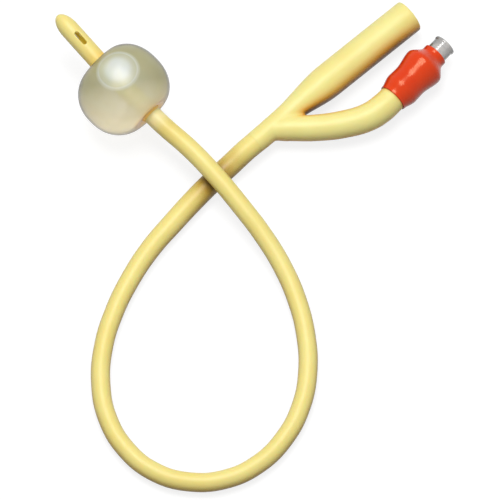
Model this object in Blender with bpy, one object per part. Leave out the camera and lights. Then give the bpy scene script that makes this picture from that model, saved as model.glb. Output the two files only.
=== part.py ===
"""Two-way balloon catheter, size 18 French, lying in a loop on a table with its balloon filled.

A latex shaft runs from the Y connector, under itself, round one loop and over itself again to the
balloon and the rounded tip. The Y connector carries the drainage funnel and the inflation arm, and the
arm ends in a sprung non-return valve inside a red rubber sleeve.

Frame: metres, +Z up, the table at z = 0. The drainage funnel faces +X. The origin is on the table, under
the middle of the box round the Y connector and the valve.
"""

import math

import bmesh
import bpy
from mathutils import Matrix, Vector

MM = 0.001

# Driving dimensions

GAP = 0.3 * MM  # clearance between neighbouring pieces

SHAFT_DIAMETER = 6.0 * MM  # 18 French
SHAFT_NECK_DIAMETER = 7.0 * MM  # it is dipped thicker towards the Y connector
SHAFT_TAPER_START, SHAFT_TAPER_END = 15.0 * MM, 80.0 * MM  # along the shaft, from the neck
DRAIN_LUMEN_DIAMETER = 3.0 * MM
DRAIN_LUMEN_OFFSET = 0.45 * MM  # off the shaft's axis, away from the inflation lumen
INFLATION_LUMEN_DIAMETER = 0.8 * MM
INFLATION_LUMEN_OFFSET = 1.9 * MM  # off the shaft's axis, on the inner side of the loop
INFLATION_PORT_DIAMETER = 1.2 * MM  # hole from the inflation lumen into the balloon

NECK_DIAMETER = 7.2 * MM  # the Y connector where it takes over from the shaft
NECK_X = -32.8 * MM
NECK_Y = 8.0 * MM
FUNNEL_DIAMETER = 10.9 * MM
FUNNEL_MOUTH_X = 31.1 * MM
FUNNEL_Y = 8.9 * MM
FUNNEL_SHOULDER_START_X = -21.0 * MM
FUNNEL_SHOULDER_LENGTH = 18.5 * MM
FUNNEL_THROAT_BORE = 7.2 * MM
FUNNEL_MOUTH_BORE = 8.6 * MM
FUNNEL_EDGE_ROUND = 0.3 * MM
NECK_BORE_LENGTH = 8.0 * MM  # straight run of the drain bore before it opens into the funnel

ARM_ROOT_DIAMETER = 6.4 * MM  # inside the hub
ARM_DIAMETER = 8.3 * MM
ARM_END_DIAMETER = 9.0 * MM  # just before the sleeve's lip
ARM_LUMEN_DIAMETER = 2.4 * MM
ARM_ROUTE = ((-27.3, 8.2), (-23.4, 5.5), (-16.4, -0.4), (-8.0, -6.0), (-1.3, -8.9), (3.8, -9.5))
ARM_IN_SLEEVE = 5.6 * MM  # how far the arm reaches into the sleeve
LUMEN_ENTRY_LENGTH = 3.0 * MM  # straight run of the inflation lumen behind the neck

VALVE_X = 8.34 * MM  # the sleeve's lip, on the valve's axis
VALVE_Y = -9.15 * MM
VALVE_TURN = math.radians(7.0)  # the valve's axis from +X towards +Y

SLEEVE_LENGTH = 20.1 * MM
SLEEVE_LIP_DIAMETER = 9.6 * MM
SLEEVE_LIP_WALL = 0.4 * MM
SLEEVE_WALL = 0.7 * MM
SLEEVE_BULGE_DIAMETER = 11.6 * MM
SLEEVE_BULGE_AT = 4.4 * MM
SLEEVE_WAIST_DIAMETER = 11.4 * MM
SLEEVE_WAIST_AT = 7.8 * MM
SLEEVE_SHOULDER_DIAMETER = 13.4 * MM
SLEEVE_SHOULDER_AT = 14.4 * MM
SLEEVE_COLLAR_AT = 18.7 * MM
SLEEVE_COLLAR_WALL = 0.3 * MM

NOSE_DIAMETER = 6.9 * MM  # the clear socket that stands out of the sleeve
NOSE_LENGTH = 24.5 * MM  # from the sleeve's lip to the socket's mouth
NOSE_RIM_DIAMETER = 7.4 * MM
NOSE_RIM_WIDTH = 0.9 * MM
SOCKET_MOUTH_DIAMETER = 4.3 * MM
SOCKET_DEPTH = 7.9 * MM
SOCKET_TAPER = 0.06  # change of diameter for each unit of length
SEAT_THICKNESS = 2.0 * MM
SEAT_BORE = 2.7 * MM
CHAMBER_DIAMETER = 5.2 * MM

TAIL_BORE = 2.0 * MM
TAIL_TUBE_DIAMETER = 3.6 * MM
TAIL_BARB_DIAMETER = 4.0 * MM
TAIL_BARB_LENGTH = 1.0 * MM
TAIL_TUBE_LENGTH = 4.6 * MM
TAIL_FLANGE_DIAMETER = 7.4 * MM
TAIL_FLANGE_THICKNESS = 0.7 * MM
TAIL_PLUG_LENGTH = 1.2 * MM

SEAL_WIRE_DIAMETER = 0.8 * MM
SEAL_DIAMETER = 3.5 * MM  # through the middle of its section
PLUNGER_HEAD_DIAMETER = 4.2 * MM
PLUNGER_HEAD_THICKNESS = 1.0 * MM
PLUNGER_SPIGOT_DIAMETER = 1.6 * MM
PLUNGER_SPIGOT_LENGTH = 1.6 * MM
PLUNGER_STEM_THICKNESS = 0.7 * MM
PLUNGER_STEM_REACH = 3.4 * MM  # how far it stands up in the socket
SPRING_DIAMETER = 2.9 * MM  # through the middle of the wire
SPRING_WIRE_DIAMETER = 0.36 * MM
SPRING_TURNS = 4

BALLOON_DIAMETER = 28.5 * MM
BALLOON_LENGTH = 25.9 * MM  # pole to pole, before the poles are drawn in
BALLOON_SQUARENESS = 2.3  # exponent of its outline: 2 is an ellipse, and more has fuller shoulders
BALLOON_POLE_DRAW = 0.2  # share of the length that is drawn in at the shaft
BALLOON_POLE_WIDTH = 5.0 * MM
BALLOON_LEAN = 0.9 * MM  # how much further it bulges on the loop's side of the shaft
BALLOON_WALL = 0.5 * MM
BALLOON_COLLAR_LENGTH = 0.8 * MM
BALLOON_COLLAR_WALL = 0.4 * MM
BALLOON_X = -54.25 * MM  # the middle of the shaft's stretch inside it
BALLOON_Y = 45.5 * MM
BALLOON_TURN = math.radians(94.0)  # the balloon's axis from +X towards +Y
BALLOON_RISE = math.radians(7.0)  # and up from the table, towards the tip
BUBBLE_DIAMETER = 12.8 * MM
BUBBLE_DEPTH = 2.4 * MM
BUBBLE_AHEAD = 1.8 * MM  # from the balloon's middle towards the tip
BUBBLE_ASIDE = 1.3 * MM  # and to the side that the balloon leans to

TIP_LENGTH = 20.2 * MM
TIP_NOSE_LENGTH = 6.0 * MM
TIP_TURN = math.radians(90.5)
TIP_BORE_LENGTH = 15.6 * MM
TIP_JOINT_GAP = 0.4 * MM  # a little over the usual clearance, because the tip leans on its joint
EYE_LENGTH = 5.0 * MM
EYE_WIDTH = 1.5 * MM
UPPER_EYE_AT = 9.4 * MM  # from the tip's joint to the middle of the eye
LOWER_EYE_AT = 12.6 * MM

# The shaft's route from the Y connector to the balloon, in millimetres: x, y, and how much higher its
# axis is than where the thinner part of the shaft lies on the table. Its two ends are worked out from
# the connector and the balloon.
ROUTE = (
    (-38.0, 7.9, 2.3),
    (-43.5, 7.8, 1.1),
    (-49.0, 7.6, 0.5),
    (-58.0, 6.7, 0.0),
    (-69.5, 5.0, 0.0),
    (-81.0, 2.9, 0.0),
    (-92.3, -0.7, 0.0),
    (-103.2, -5.7, 0.0),
    (-113.3, -12.3, 0.0),
    (-121.9, -20.9, 0.0),
    (-128.1, -31.3, 0.0),
    (-130.6, -43.0, 0.0),
    (-128.9, -54.5, 0.0),
    (-123.0, -64.0, 0.0),
    (-113.9, -70.7, 0.0),
    (-103.0, -73.5, 0.0),
    (-91.3, -72.3, 0.0),
    (-80.3, -67.6, 0.0),
    (-70.9, -60.0, 0.0),
    (-63.4, -50.4, 0.0),
    (-57.9, -39.9, 0.5),
    (-54.3, -28.9, 1.8),
    (-52.4, -17.7, 3.6),
    (-51.7, -6.4, 5.6),
    (-51.4, 5.2, 7.3),
    (-51.7, 17.0, 8.4),
)
STRAIGHT_BEFORE_BALLOON = 3.0 * MM
RING_SPACING = 5.9 * MM

ARM_RING_SPACING = 3.2 * MM
CUTTER_OVERRUN = 1.0 * MM  # how far a cutter runs past the face it opens
SHAFT_SIDES = 12
DRAIN_LUMEN_SIDES = 8
INFLATION_LUMEN_SIDES = 6
SMALL_HOLE_SIDES = 10
BORE_SIDES = 20
ARM_SIDES = 20
TIP_SIDES = 16
SMALL_TURNED_SIDES = 18
TURNED_SIDES = 24
BALLOON_SIDES = 28
SPRING_POINTS_PER_TURN = 14

LATEX = ((0.87, 0.75, 0.36), 0.38, 0.0)
CREAM_MEMBRANE = ((0.62, 0.60, 0.46), 0.35, 0.0)
WATER = ((0.80, 0.84, 0.80), 0.05, 0.0)
RED_RUBBER = ((0.76, 0.04, 0.01), 0.22, 0.0)
CLEAR_PLASTIC = ((0.72, 0.73, 0.74), 0.12, 0.0)
WHITE_PLASTIC = ((0.85, 0.86, 0.84), 0.35, 0.0)
BLACK_RUBBER = ((0.03, 0.03, 0.03), 0.5, 0.0)
STEEL = ((0.62, 0.62, 0.63), 0.25, 1.0)


# Curves, outlines and meshes


def ease(share):
    """A smooth step from 0 to 1."""
    share = min(max(share, 0.0), 1.0)
    return share * share * (3.0 - 2.0 * share)


def eased(stations, at):
    """The value at a place, easing from each (place, value) station to the next."""
    if at <= stations[0][0]:
        return stations[0][1]
    for (start, first), (end, second) in zip(stations, stations[1:]):
        if at <= end:
            return first + (second - first) * ease((at - start) / (end - start))
    return stations[-1][1]


def steps(start, end, count):
    """Evenly spaced values, both ends among them."""
    return [start + (end - start) * i / count for i in range(count + 1)]


def spline_point(points, index, share):
    """A point of the smooth curve through all points, between points[index] and the next."""
    before = points[max(index - 1, 0)]
    start, end = points[index], points[index + 1]
    after = points[min(index + 2, len(points) - 1)]
    span = (end - start).length
    leave = (end - before) * (span / max((end - before).length, 1e-9))
    arrive = (after - start) * (span / max((after - start).length, 1e-9))
    t2, t3 = share**2, share**3
    return (
        start * (2 * t3 - 3 * t2 + 1)
        + leave * (t3 - 2 * t2 + share)
        + end * (3 * t2 - 2 * t3)
        + arrive * (t3 - t2)
    )


def smooth_path(points, spacing):
    """Points about one spacing apart on a smooth curve through the given ones."""
    fine = []
    for index in range(len(points) - 1):
        fine += [spline_point(points, index, i / 24) for i in range(24)]
    fine.append(points[-1])
    reach = [0.0]
    for a, b in zip(fine, fine[1:]):
        reach.append(reach[-1] + (b - a).length)
    count = max(round(reach[-1] / spacing), 1)
    path, k = [], 0
    for target in steps(0.0, reach[-1], count):
        while k < len(fine) - 2 and reach[k + 1] < target:
            k += 1
        share = (target - reach[k]) / (reach[k + 1] - reach[k])
        path.append(fine[k].lerp(fine[k + 1], share))
    return path


def frames_along(path, side):
    """(point, side, up) at each point of a path, carried along it without twist."""
    frames = []
    for i, point in enumerate(path):
        ahead = (path[min(i + 1, len(path) - 1)] - path[max(i - 1, 0)]).normalized()
        side = (side - ahead * side.dot(ahead)).normalized()
        frames.append((point, side, ahead.cross(side)))
    return frames


def ring(bm, frame, radius, sides, offset=0.0):
    """A closed loop of vertices round a frame, its middle pushed to the frame's side."""
    point, side, up = frame
    middle = point + side * offset
    turn = 2 * math.pi / sides
    return [
        bm.verts.new(middle + (side * math.cos(i * turn) + up * math.sin(i * turn)) * radius)
        for i in range(sides)
    ]


def skin(bm, rings):
    """Join each ring to the next with a band of faces."""
    for a, b in zip(rings, rings[1:]):
        for i in range(len(a)):
            j = (i + 1) % len(a)
            bm.faces.new((a[i], a[j], b[j], b[i]))


def edges_of(bm, loop):
    """The edges round a loop of vertices."""
    return [bm.edges.get((a, b)) or bm.edges.new((a, b)) for a, b in zip(loop, loop[1:] + loop[:1])]


def swept(name, frames, tubes):
    """One solid swept along frames: the first tube is its outside and the rest are lumens.

    A tube is (radius at each frame, sides, offset).
    """
    bm = bmesh.new()
    first_edges, last_edges = [], []
    for radii, sides, offset in tubes:
        rings = [ring(bm, frame, r, sides, offset) for frame, r in zip(frames, radii)]
        skin(bm, rings)
        first_edges += edges_of(bm, rings[0])
        last_edges += edges_of(bm, rings[-1])
    for edges in (first_edges, last_edges):
        bmesh.ops.triangle_fill(bm, use_beauty=True, use_dissolve=False, edges=edges)
    bmesh.ops.recalc_face_normals(bm, faces=bm.faces)
    return new_object(name, bm)


def turned(name, profile, sides, closed=True):
    """A solid turned about Z from (radius, height) points; a closed profile joins its two ends."""
    bm = bmesh.new()
    points = [Vector((r, 0.0, z)) for r, z in profile]
    verts = [bm.verts.new(p) for p in points]
    pairs = list(zip(verts, verts[1:])) + ([(verts[-1], verts[0])] if closed else [])
    edges = [bm.edges.new(pair) for pair in pairs]
    bmesh.ops.spin(
        bm,
        geom=verts + edges,
        cent=(0, 0, 0),
        axis=(0, 0, 1),
        angle=2 * math.pi,
        steps=sides,
        use_merge=True,
    )
    bmesh.ops.remove_doubles(bm, verts=bm.verts, dist=0.002 * MM)
    bmesh.ops.recalc_face_normals(bm, faces=bm.faces)
    return new_object(name, bm)


def new_object(name, bm):
    """Put a finished bmesh into the scene."""
    mesh = bpy.data.meshes.new(name)
    bm.to_mesh(mesh)
    bm.free()
    mesh.shade_smooth()
    mesh.set_sharp_from_angle(angle=math.radians(35))
    obj = bpy.data.objects.new(name, mesh)
    bpy.context.scene.collection.objects.link(obj)
    return obj


def finish(obj, look):
    """Give a piece its own material."""
    colour, roughness, metallic = look
    material = bpy.data.materials.new(obj.name)
    material.use_nodes = True
    shader = material.node_tree.nodes["Principled BSDF"]
    shader.inputs["Base Color"].default_value = (*colour, 1.0)
    shader.inputs["Roughness"].default_value = roughness
    shader.inputs["Metallic"].default_value = metallic
    material.diffuse_color = (*colour, 1.0)
    obj.data.materials.append(material)
    return obj


def combine(obj, other, operation):
    """Cut or join a guide solid, which stays out of the model itself."""
    other.hide_render = True
    other.display_type = "WIRE"
    boolean = obj.modifiers.new(other.name, "BOOLEAN")
    boolean.operation = operation
    boolean.solver = "EXACT"
    boolean.object = other


def axis_empty(name, place, turn, rise=0.0):
    """An empty whose Z runs along a piece's axis, and whose X points up from the table."""
    along = Vector((math.cos(rise) * math.cos(turn), math.cos(rise) * math.sin(turn), math.sin(rise)))
    sideways = along.cross(Vector((0, 0, 1))).normalized()
    up = sideways.cross(along)
    empty = bpy.data.objects.new(name, None)
    bpy.context.scene.collection.objects.link(empty)
    rotation = Matrix((up, sideways, along)).transposed().to_quaternion()
    empty.rotation_mode = "QUATERNION"
    empty.location = place
    empty.rotation_quaternion = rotation
    return empty, along


def on_axis(obj, empty, along=0.0):
    """Carry a piece on an axis, some way along it."""
    obj.parent = empty
    obj.location = (0.0, 0.0, along)
    return obj


# The sleeve's outlines, which the arm's end and the valve's body follow from inside


def sleeve_outside(at):
    collar = NOSE_DIAMETER / 2 + GAP + SLEEVE_COLLAR_WALL
    return eased(
        (
            (0.0, SLEEVE_LIP_DIAMETER / 2),
            (SLEEVE_BULGE_AT, SLEEVE_BULGE_DIAMETER / 2),
            (SLEEVE_WAIST_AT, SLEEVE_WAIST_DIAMETER / 2),
            (SLEEVE_SHOULDER_AT, SLEEVE_SHOULDER_DIAMETER / 2),
            (SLEEVE_COLLAR_AT, collar),
            (SLEEVE_LENGTH, collar),
        ),
        at,
    )


def sleeve_inside(at):
    bore = NOSE_DIAMETER / 2 + GAP
    return eased(
        (
            (0.0, SLEEVE_LIP_DIAMETER / 2 - SLEEVE_LIP_WALL),
            (SLEEVE_BULGE_AT, SLEEVE_BULGE_DIAMETER / 2 - SLEEVE_WALL),
            (SLEEVE_WAIST_AT, SLEEVE_WAIST_DIAMETER / 2 - SLEEVE_WALL),
            (SLEEVE_SHOULDER_AT, SLEEVE_SHOULDER_DIAMETER / 2 - SLEEVE_WALL),
            (SLEEVE_COLLAR_AT, bore),
            (SLEEVE_LENGTH, bore),
        ),
        at,
    )


def in_sleeve(at):
    """How fat a piece inside the sleeve may be."""
    return sleeve_inside(at) - GAP


# Places worked out from the driving dimensions

FUNNEL_HEIGHT = FUNNEL_DIAMETER / 2  # the funnel lies on the table
VALVE_HEIGHT = SLEEVE_SHOULDER_DIAMETER / 2  # and so does the sleeve, on its widest part
TAIL_FLANGE_AT = ARM_IN_SLEEVE + GAP
BODY_REAR_AT = TAIL_FLANGE_AT + TAIL_FLANGE_THICKNESS + GAP
TAIL_PLUG_END_AT = TAIL_FLANGE_AT + TAIL_FLANGE_THICKNESS + TAIL_PLUG_LENGTH
SOCKET_BOTTOM_AT = NOSE_LENGTH - SOCKET_DEPTH
SEAT_AT = SOCKET_BOTTOM_AT - SEAT_THICKNESS
SEAL_AT = SEAT_AT - GAP - SEAL_WIRE_DIAMETER / 2
HEAD_FRONT_AT = SEAL_AT - SEAL_WIRE_DIAMETER / 2 - GAP
HEAD_REAR_AT = HEAD_FRONT_AT - PLUNGER_HEAD_THICKNESS


def balloon_centre():
    """The middle of the balloon, with its lowest point on the table."""
    power = BALLOON_SQUARENESS / (BALLOON_SQUARENESS - 1)
    across = (BALLOON_DIAMETER / 2 * math.cos(BALLOON_RISE)) ** power
    along = (BALLOON_LENGTH / 2 * math.sin(BALLOON_RISE)) ** power
    return Vector((BALLOON_X, BALLOON_Y, (across + along) ** (1 / power)))


def balloon_outline(inset, start_radius, count):
    """(radius, height) points from one pole of the balloon to the other, inset from its outside."""
    radius = BALLOON_DIAMETER / 2 - inset
    half_length = BALLOON_LENGTH / 2 - inset
    power = 2 / BALLOON_SQUARENESS
    start = math.asin((start_radius / radius) ** (1 / power))
    points = []
    for angle in steps(start, math.pi - start, count):
        r = radius * math.sin(angle) ** power
        z = -half_length * math.copysign(abs(math.cos(angle)) ** power, math.cos(angle))
        drawn = 1.0 - BALLOON_POLE_DRAW * math.exp(-((r / BALLOON_POLE_WIDTH) ** 2))
        points.append((r, z * drawn))
    return points


def lean_out(obj):
    """Let a piece turned about the balloon's axis bulge further to one side, and not at the shaft."""
    bonded = SHAFT_DIAMETER / 2 + GAP
    widest = BALLOON_DIAMETER / 2
    for vert in obj.data.vertices:
        share = (math.hypot(vert.co.x, vert.co.y) - bonded) / (widest - bonded)
        vert.co.y -= BALLOON_LEAN * max(share, 0.0)
    return obj


def shaft_route(joint):
    """The shaft's axis, from the Y connector's neck to its joint with the tip."""
    centre = balloon_centre()
    along = (joint - centre).normalized()
    collar = BALLOON_LENGTH / 2 + STRAIGHT_BEFORE_BALLOON
    neck = Vector((NECK_X - GAP, NECK_Y, FUNNEL_HEIGHT))
    lying = [Vector((x * MM, y * MM, SHAFT_DIAMETER / 2 + lift * MM)) for x, y, lift in ROUTE]
    straight = [centre - along * collar, centre - along * collar / 2, centre, joint]
    return [neck] + lying + straight


# The pieces


def make_shaft(joint):
    """The latex tube, with a drain lumen and a small inflation lumen all the way along."""
    path = smooth_path(shaft_route(joint), RING_SPACING)
    taper = ((SHAFT_TAPER_START, SHAFT_NECK_DIAMETER / 2), (SHAFT_TAPER_END, SHAFT_DIAMETER / 2))
    radii = [eased(taper, RING_SPACING * i) for i in range(len(path))]
    for point, radius in zip(path, radii):
        point.z = max(point.z, radius)  # the thicker part lies on the table too
    frames = frames_along(path, Vector((0, -1, 0)))
    count = len(path)
    tubes = (
        (radii, SHAFT_SIDES, 0.0),
        ([DRAIN_LUMEN_DIAMETER / 2] * count, DRAIN_LUMEN_SIDES, -DRAIN_LUMEN_OFFSET),
        ([INFLATION_LUMEN_DIAMETER / 2] * count, INFLATION_LUMEN_SIDES, INFLATION_LUMEN_OFFSET),
    )
    shaft = swept("shaft", frames, tubes)
    centre = balloon_centre()
    nearest = min(frames, key=lambda frame: (frame[0] - centre).length)
    outwards = nearest[1]
    lumen = nearest[0] + outwards * INFLATION_LUMEN_OFFSET
    port_path = [lumen, lumen + outwards * SHAFT_DIAMETER / 2]
    port_frames = frames_along(port_path, nearest[2])
    port_tube = ([INFLATION_PORT_DIAMETER / 2] * 2, SMALL_HOLE_SIDES, 0.0)
    port = swept("inflation_port", port_frames, (port_tube,))
    combine(shaft, port, "DIFFERENCE")
    return finish(shaft, LATEX)


def make_tip(axis):
    """The closed, rounded end, with a blind bore and two eyes on opposite sides."""
    radius = SHAFT_DIAMETER / 2
    bore = DRAIN_LUMEN_DIAMETER / 2
    nose_start = TIP_LENGTH - TIP_NOSE_LENGTH
    dome_start = TIP_BORE_LENGTH - bore
    dome = [
        (bore * math.cos(a), dome_start + bore * math.sin(a)) for a in steps(math.pi / 2, 0.0, 3)
    ]
    nose = [
        (radius * math.cos(a), nose_start + TIP_NOSE_LENGTH * math.sin(a))
        for a in steps(0.0, math.pi / 2, 6)
    ]
    profile = dome + [(bore, 0.0), (radius, 0.0)] + nose
    tip = turned("tip", profile, TIP_SIDES, closed=False)
    for name, at, side in (("upper_eye", UPPER_EYE_AT, 1.0), ("lower_eye", LOWER_EYE_AT, -1.0)):
        combine(tip, on_axis(eye_cutter(name, side), axis, at), "DIFFERENCE")
    return on_axis(finish(tip, LATEX), axis)


def eye_cutter(name, side):
    """A round-ended slot that reaches from the bore out through one side of the tip."""
    bm = bmesh.new()
    straight = (EYE_LENGTH - EYE_WIDTH) / 2
    outline = []
    for end in (1.0, -1.0):
        for a in steps(-math.pi / 2, math.pi / 2, 6):
            y = end * EYE_WIDTH / 2 * math.sin(a)
            z = end * (straight + EYE_WIDTH / 2 * math.cos(a))
            outline.append(bm.verts.new((0.0, y, z)))
    face = bm.faces.new(outline)
    top = bmesh.ops.extrude_face_region(bm, geom=[face])["geom"]
    moved = [v for v in top if isinstance(v, bmesh.types.BMVert)]
    bmesh.ops.translate(bm, vec=(side * SHAFT_DIAMETER, 0.0, 0.0), verts=moved)
    bmesh.ops.recalc_face_normals(bm, faces=bm.faces)
    return new_object(name, bm)


def make_balloon(axis):
    """The stretched membrane, with a short collar bonded to the shaft at each end."""
    bore = SHAFT_DIAMETER / 2 + GAP
    collar = bore + BALLOON_COLLAR_WALL
    edge = bore + BALLOON_COLLAR_WALL / 2
    outside = balloon_outline(0.0, collar, 18)
    inside = balloon_outline(BALLOON_WALL, bore, 14)
    low = outside[0][1] - BALLOON_COLLAR_LENGTH
    high = outside[-1][1] + BALLOON_COLLAR_LENGTH
    profile = [(bore, low), (edge, low)] + outside + [(edge, high), (bore, high)] + inside[::-1]
    balloon = lean_out(turned("balloon", profile, BALLOON_SIDES))
    return on_axis(finish(balloon, CREAM_MEMBRANE), axis)


def make_water(axis):
    """The sterile water in the balloon, round the shaft, with an air bubble at the top."""
    bore = SHAFT_DIAMETER / 2 + GAP
    inset = BALLOON_WALL + GAP
    profile = balloon_outline(inset, bore + GAP, 14)
    low, high = profile[0][1], profile[-1][1]
    water = lean_out(turned("balloon_water", [(bore, low)] + profile + [(bore, high)], BALLOON_SIDES))
    finish(on_axis(water, axis), WATER)
    bm = bmesh.new()
    bmesh.ops.create_uvsphere(bm, u_segments=16, v_segments=8, radius=1.0)
    half = BUBBLE_DIAMETER / 2
    bmesh.ops.scale(bm, vec=(half, half, BUBBLE_DEPTH), verts=bm.verts)
    bubble = new_object("air_bubble", bm)
    surface = math.sqrt((BALLOON_DIAMETER / 2 - inset) ** 2 - half**2)
    ahead = Vector((math.cos(BALLOON_TURN), math.sin(BALLOON_TURN), 0.0))
    aside = Vector((-ahead.y, ahead.x, 0.0))
    level = balloon_centre() + Vector((0.0, 0.0, surface))
    bubble.location = level + ahead * BUBBLE_AHEAD + aside * BUBBLE_ASIDE
    combine(water, bubble, "DIFFERENCE")
    return water


def make_connector(valve_point, valve_along):
    """The Y connector: drainage funnel, hub and inflation arm, with both bores cut through."""
    neck_radius, funnel_radius = NECK_DIAMETER / 2, FUNNEL_DIAMETER / 2
    shoulder_end = FUNNEL_SHOULDER_START_X + FUNNEL_SHOULDER_LENGTH
    offsets = ((NECK_X, NECK_Y), (FUNNEL_SHOULDER_START_X + FUNNEL_SHOULDER_LENGTH / 2, FUNNEL_Y))
    radii = ((FUNNEL_SHOULDER_START_X, neck_radius), (shoulder_end, funnel_radius))
    stations = steps(NECK_X, FUNNEL_SHOULDER_START_X, 4)
    stations += steps(FUNNEL_SHOULDER_START_X, shoulder_end, 7)[1:]
    stations += [FUNNEL_MOUTH_X - FUNNEL_EDGE_ROUND, FUNNEL_MOUTH_X]
    path = [Vector((x, eased(offsets, x), FUNNEL_HEIGHT)) for x in stations]
    outside = [eased(radii, x) for x in stations]
    outside[-1] -= FUNNEL_EDGE_ROUND
    side = Vector((0, -1, 0))
    connector = swept("y_connector", frames_along(path, side), ((outside, TURNED_SIDES, 0.0),))

    arm_path, arm_radii, lumen_path, lumen_radii = arm_lines(valve_point, valve_along)
    arm = swept("inflation_arm", frames_along(arm_path, side), ((arm_radii, ARM_SIDES, 0.0),))
    combine(connector, arm, "UNION")

    drain = swept("drain_bore", *drain_bore(offsets, shoulder_end))
    combine(connector, drain, "DIFFERENCE")
    lumen_tube = (lumen_radii, SMALL_HOLE_SIDES, 0.0)
    lumen = swept("arm_lumen", frames_along(lumen_path, side), (lumen_tube,))
    combine(connector, lumen, "DIFFERENCE")
    return finish(connector, LATEX)


def drain_bore(offsets, throat_at):
    """Frames and tube of the drainage bore, from past the neck's face to past the mouth."""
    narrow = NECK_X + NECK_BORE_LENGTH
    bores = (
        (narrow, DRAIN_LUMEN_DIAMETER / 2),
        (throat_at, FUNNEL_THROAT_BORE / 2),
    )
    stations = [NECK_X - CUTTER_OVERRUN, NECK_X] + steps(narrow, throat_at, 6)
    radii = [eased(bores, x) for x in stations]
    stations += [FUNNEL_MOUTH_X, FUNNEL_MOUTH_X + CUTTER_OVERRUN]
    radii += [FUNNEL_MOUTH_BORE / 2] * 2
    lean = ((NECK_X, DRAIN_LUMEN_OFFSET), (throat_at, 0.0))
    path = [Vector((x, eased(offsets, x) + eased(lean, x), FUNNEL_HEIGHT)) for x in stations]
    return frames_along(path, Vector((0, -1, 0))), ((radii, BORE_SIDES, 0.0),)


def arm_lines(valve_point, valve_along):
    """The arm's axis and radii, and its lumen's, from the hub to inside the sleeve."""
    flat = [Vector((x * MM, y * MM, 0.0)) for x, y in ARM_ROUTE]
    lip = Vector((valve_point.x, valve_point.y, 0.0))
    path = smooth_path(flat + [lip], ARM_RING_SPACING)
    reach = len(path) - 1
    for i, point in enumerate(path):
        point.z = FUNNEL_HEIGHT + (VALVE_HEIGHT - FUNNEL_HEIGHT) * ease(i / reach)
    grown = ((0, ARM_ROOT_DIAMETER / 2), (2, ARM_DIAMETER / 2), (reach, ARM_END_DIAMETER / 2))
    radii = [eased(grown, i) for i in range(reach + 1)]
    under = steps(0.0, ARM_IN_SLEEVE, 4)
    inner = path[:-1] + [valve_point + valve_along * at for at in under]
    radii = radii[:-1] + [in_sleeve(at) for at in under]
    radii[reach - 1] = ARM_END_DIAMETER / 2

    neck = Vector((NECK_X, NECK_Y - INFLATION_LUMEN_OFFSET, FUNNEL_HEIGHT))
    entry = [neck - Vector((CUTTER_OVERRUN, 0, 0)), neck + Vector((LUMEN_ENTRY_LENGTH, 0, 0))]
    # The lumen meets the arm's line at the line's third ring, and runs past its end.
    lumen_path = entry + inner[2:-1] + [inner[-1] + valve_along * CUTTER_OVERRUN]
    # It widens over four rings behind the neck, and again over two where the valve's tail goes in.
    tail_ring = len(lumen_path) - len(under)
    widen = (
        (1, INFLATION_LUMEN_DIAMETER / 2),
        (5, ARM_LUMEN_DIAMETER / 2),
        (tail_ring - 2, ARM_LUMEN_DIAMETER / 2),
        (tail_ring, TAIL_BARB_DIAMETER / 2 + GAP),
    )
    lumen_radii = [eased(widen, i) for i in range(len(lumen_path))]
    return inner, radii, lumen_path, lumen_radii


def make_sleeve(axis):
    """The red rubber sleeve, stretched over the arm's end and the valve's body."""
    outer = [0.0] + steps(0.0, SLEEVE_BULGE_AT, 4)[1:]
    outer += steps(SLEEVE_BULGE_AT, SLEEVE_WAIST_AT, 2)[1:]
    outer += steps(SLEEVE_WAIST_AT, SLEEVE_SHOULDER_AT, 4)[1:]
    outer += steps(SLEEVE_SHOULDER_AT, SLEEVE_COLLAR_AT, 5)[1:] + [SLEEVE_LENGTH]
    inner = steps(0.0, SLEEVE_WAIST_AT, 4) + steps(SLEEVE_WAIST_AT, SLEEVE_SHOULDER_AT, 3)[1:]
    inner += steps(SLEEVE_SHOULDER_AT, SLEEVE_COLLAR_AT, 4)[1:] + [SLEEVE_LENGTH]
    profile = [(sleeve_outside(at), at) for at in outer]
    profile += [(sleeve_inside(at), at) for at in reversed(inner)]
    return on_axis(finish(turned("valve_sleeve", profile, TURNED_SIDES), RED_RUBBER), axis)


def make_valve_body(axis):
    """The clear housing: chamber, seat and the tapered socket for a syringe."""
    outside = steps(BODY_REAR_AT, SLEEVE_SHOULDER_AT, 4)
    outside += steps(SLEEVE_SHOULDER_AT, SLEEVE_COLLAR_AT, 4)[1:]
    rim_start = NOSE_LENGTH - NOSE_RIM_WIDTH
    nose, rim = NOSE_DIAMETER / 2, NOSE_RIM_DIAMETER / 2
    mouth = SOCKET_MOUTH_DIAMETER / 2
    bottom = mouth - SOCKET_DEPTH * SOCKET_TAPER / 2
    chamber = CHAMBER_DIAMETER / 2
    profile = [(in_sleeve(at), at) for at in outside]
    profile += [(nose, rim_start), (rim, rim_start + GAP), (rim, NOSE_LENGTH), (mouth, NOSE_LENGTH)]
    profile += [(bottom, SOCKET_BOTTOM_AT), (SEAT_BORE / 2, SOCKET_BOTTOM_AT)]
    profile += [(SEAT_BORE / 2, SEAT_AT), (chamber, SEAT_AT), (chamber, BODY_REAR_AT)]
    return on_axis(finish(turned("valve_body", profile, TURNED_SIDES), CLEAR_PLASTIC), axis)


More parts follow.
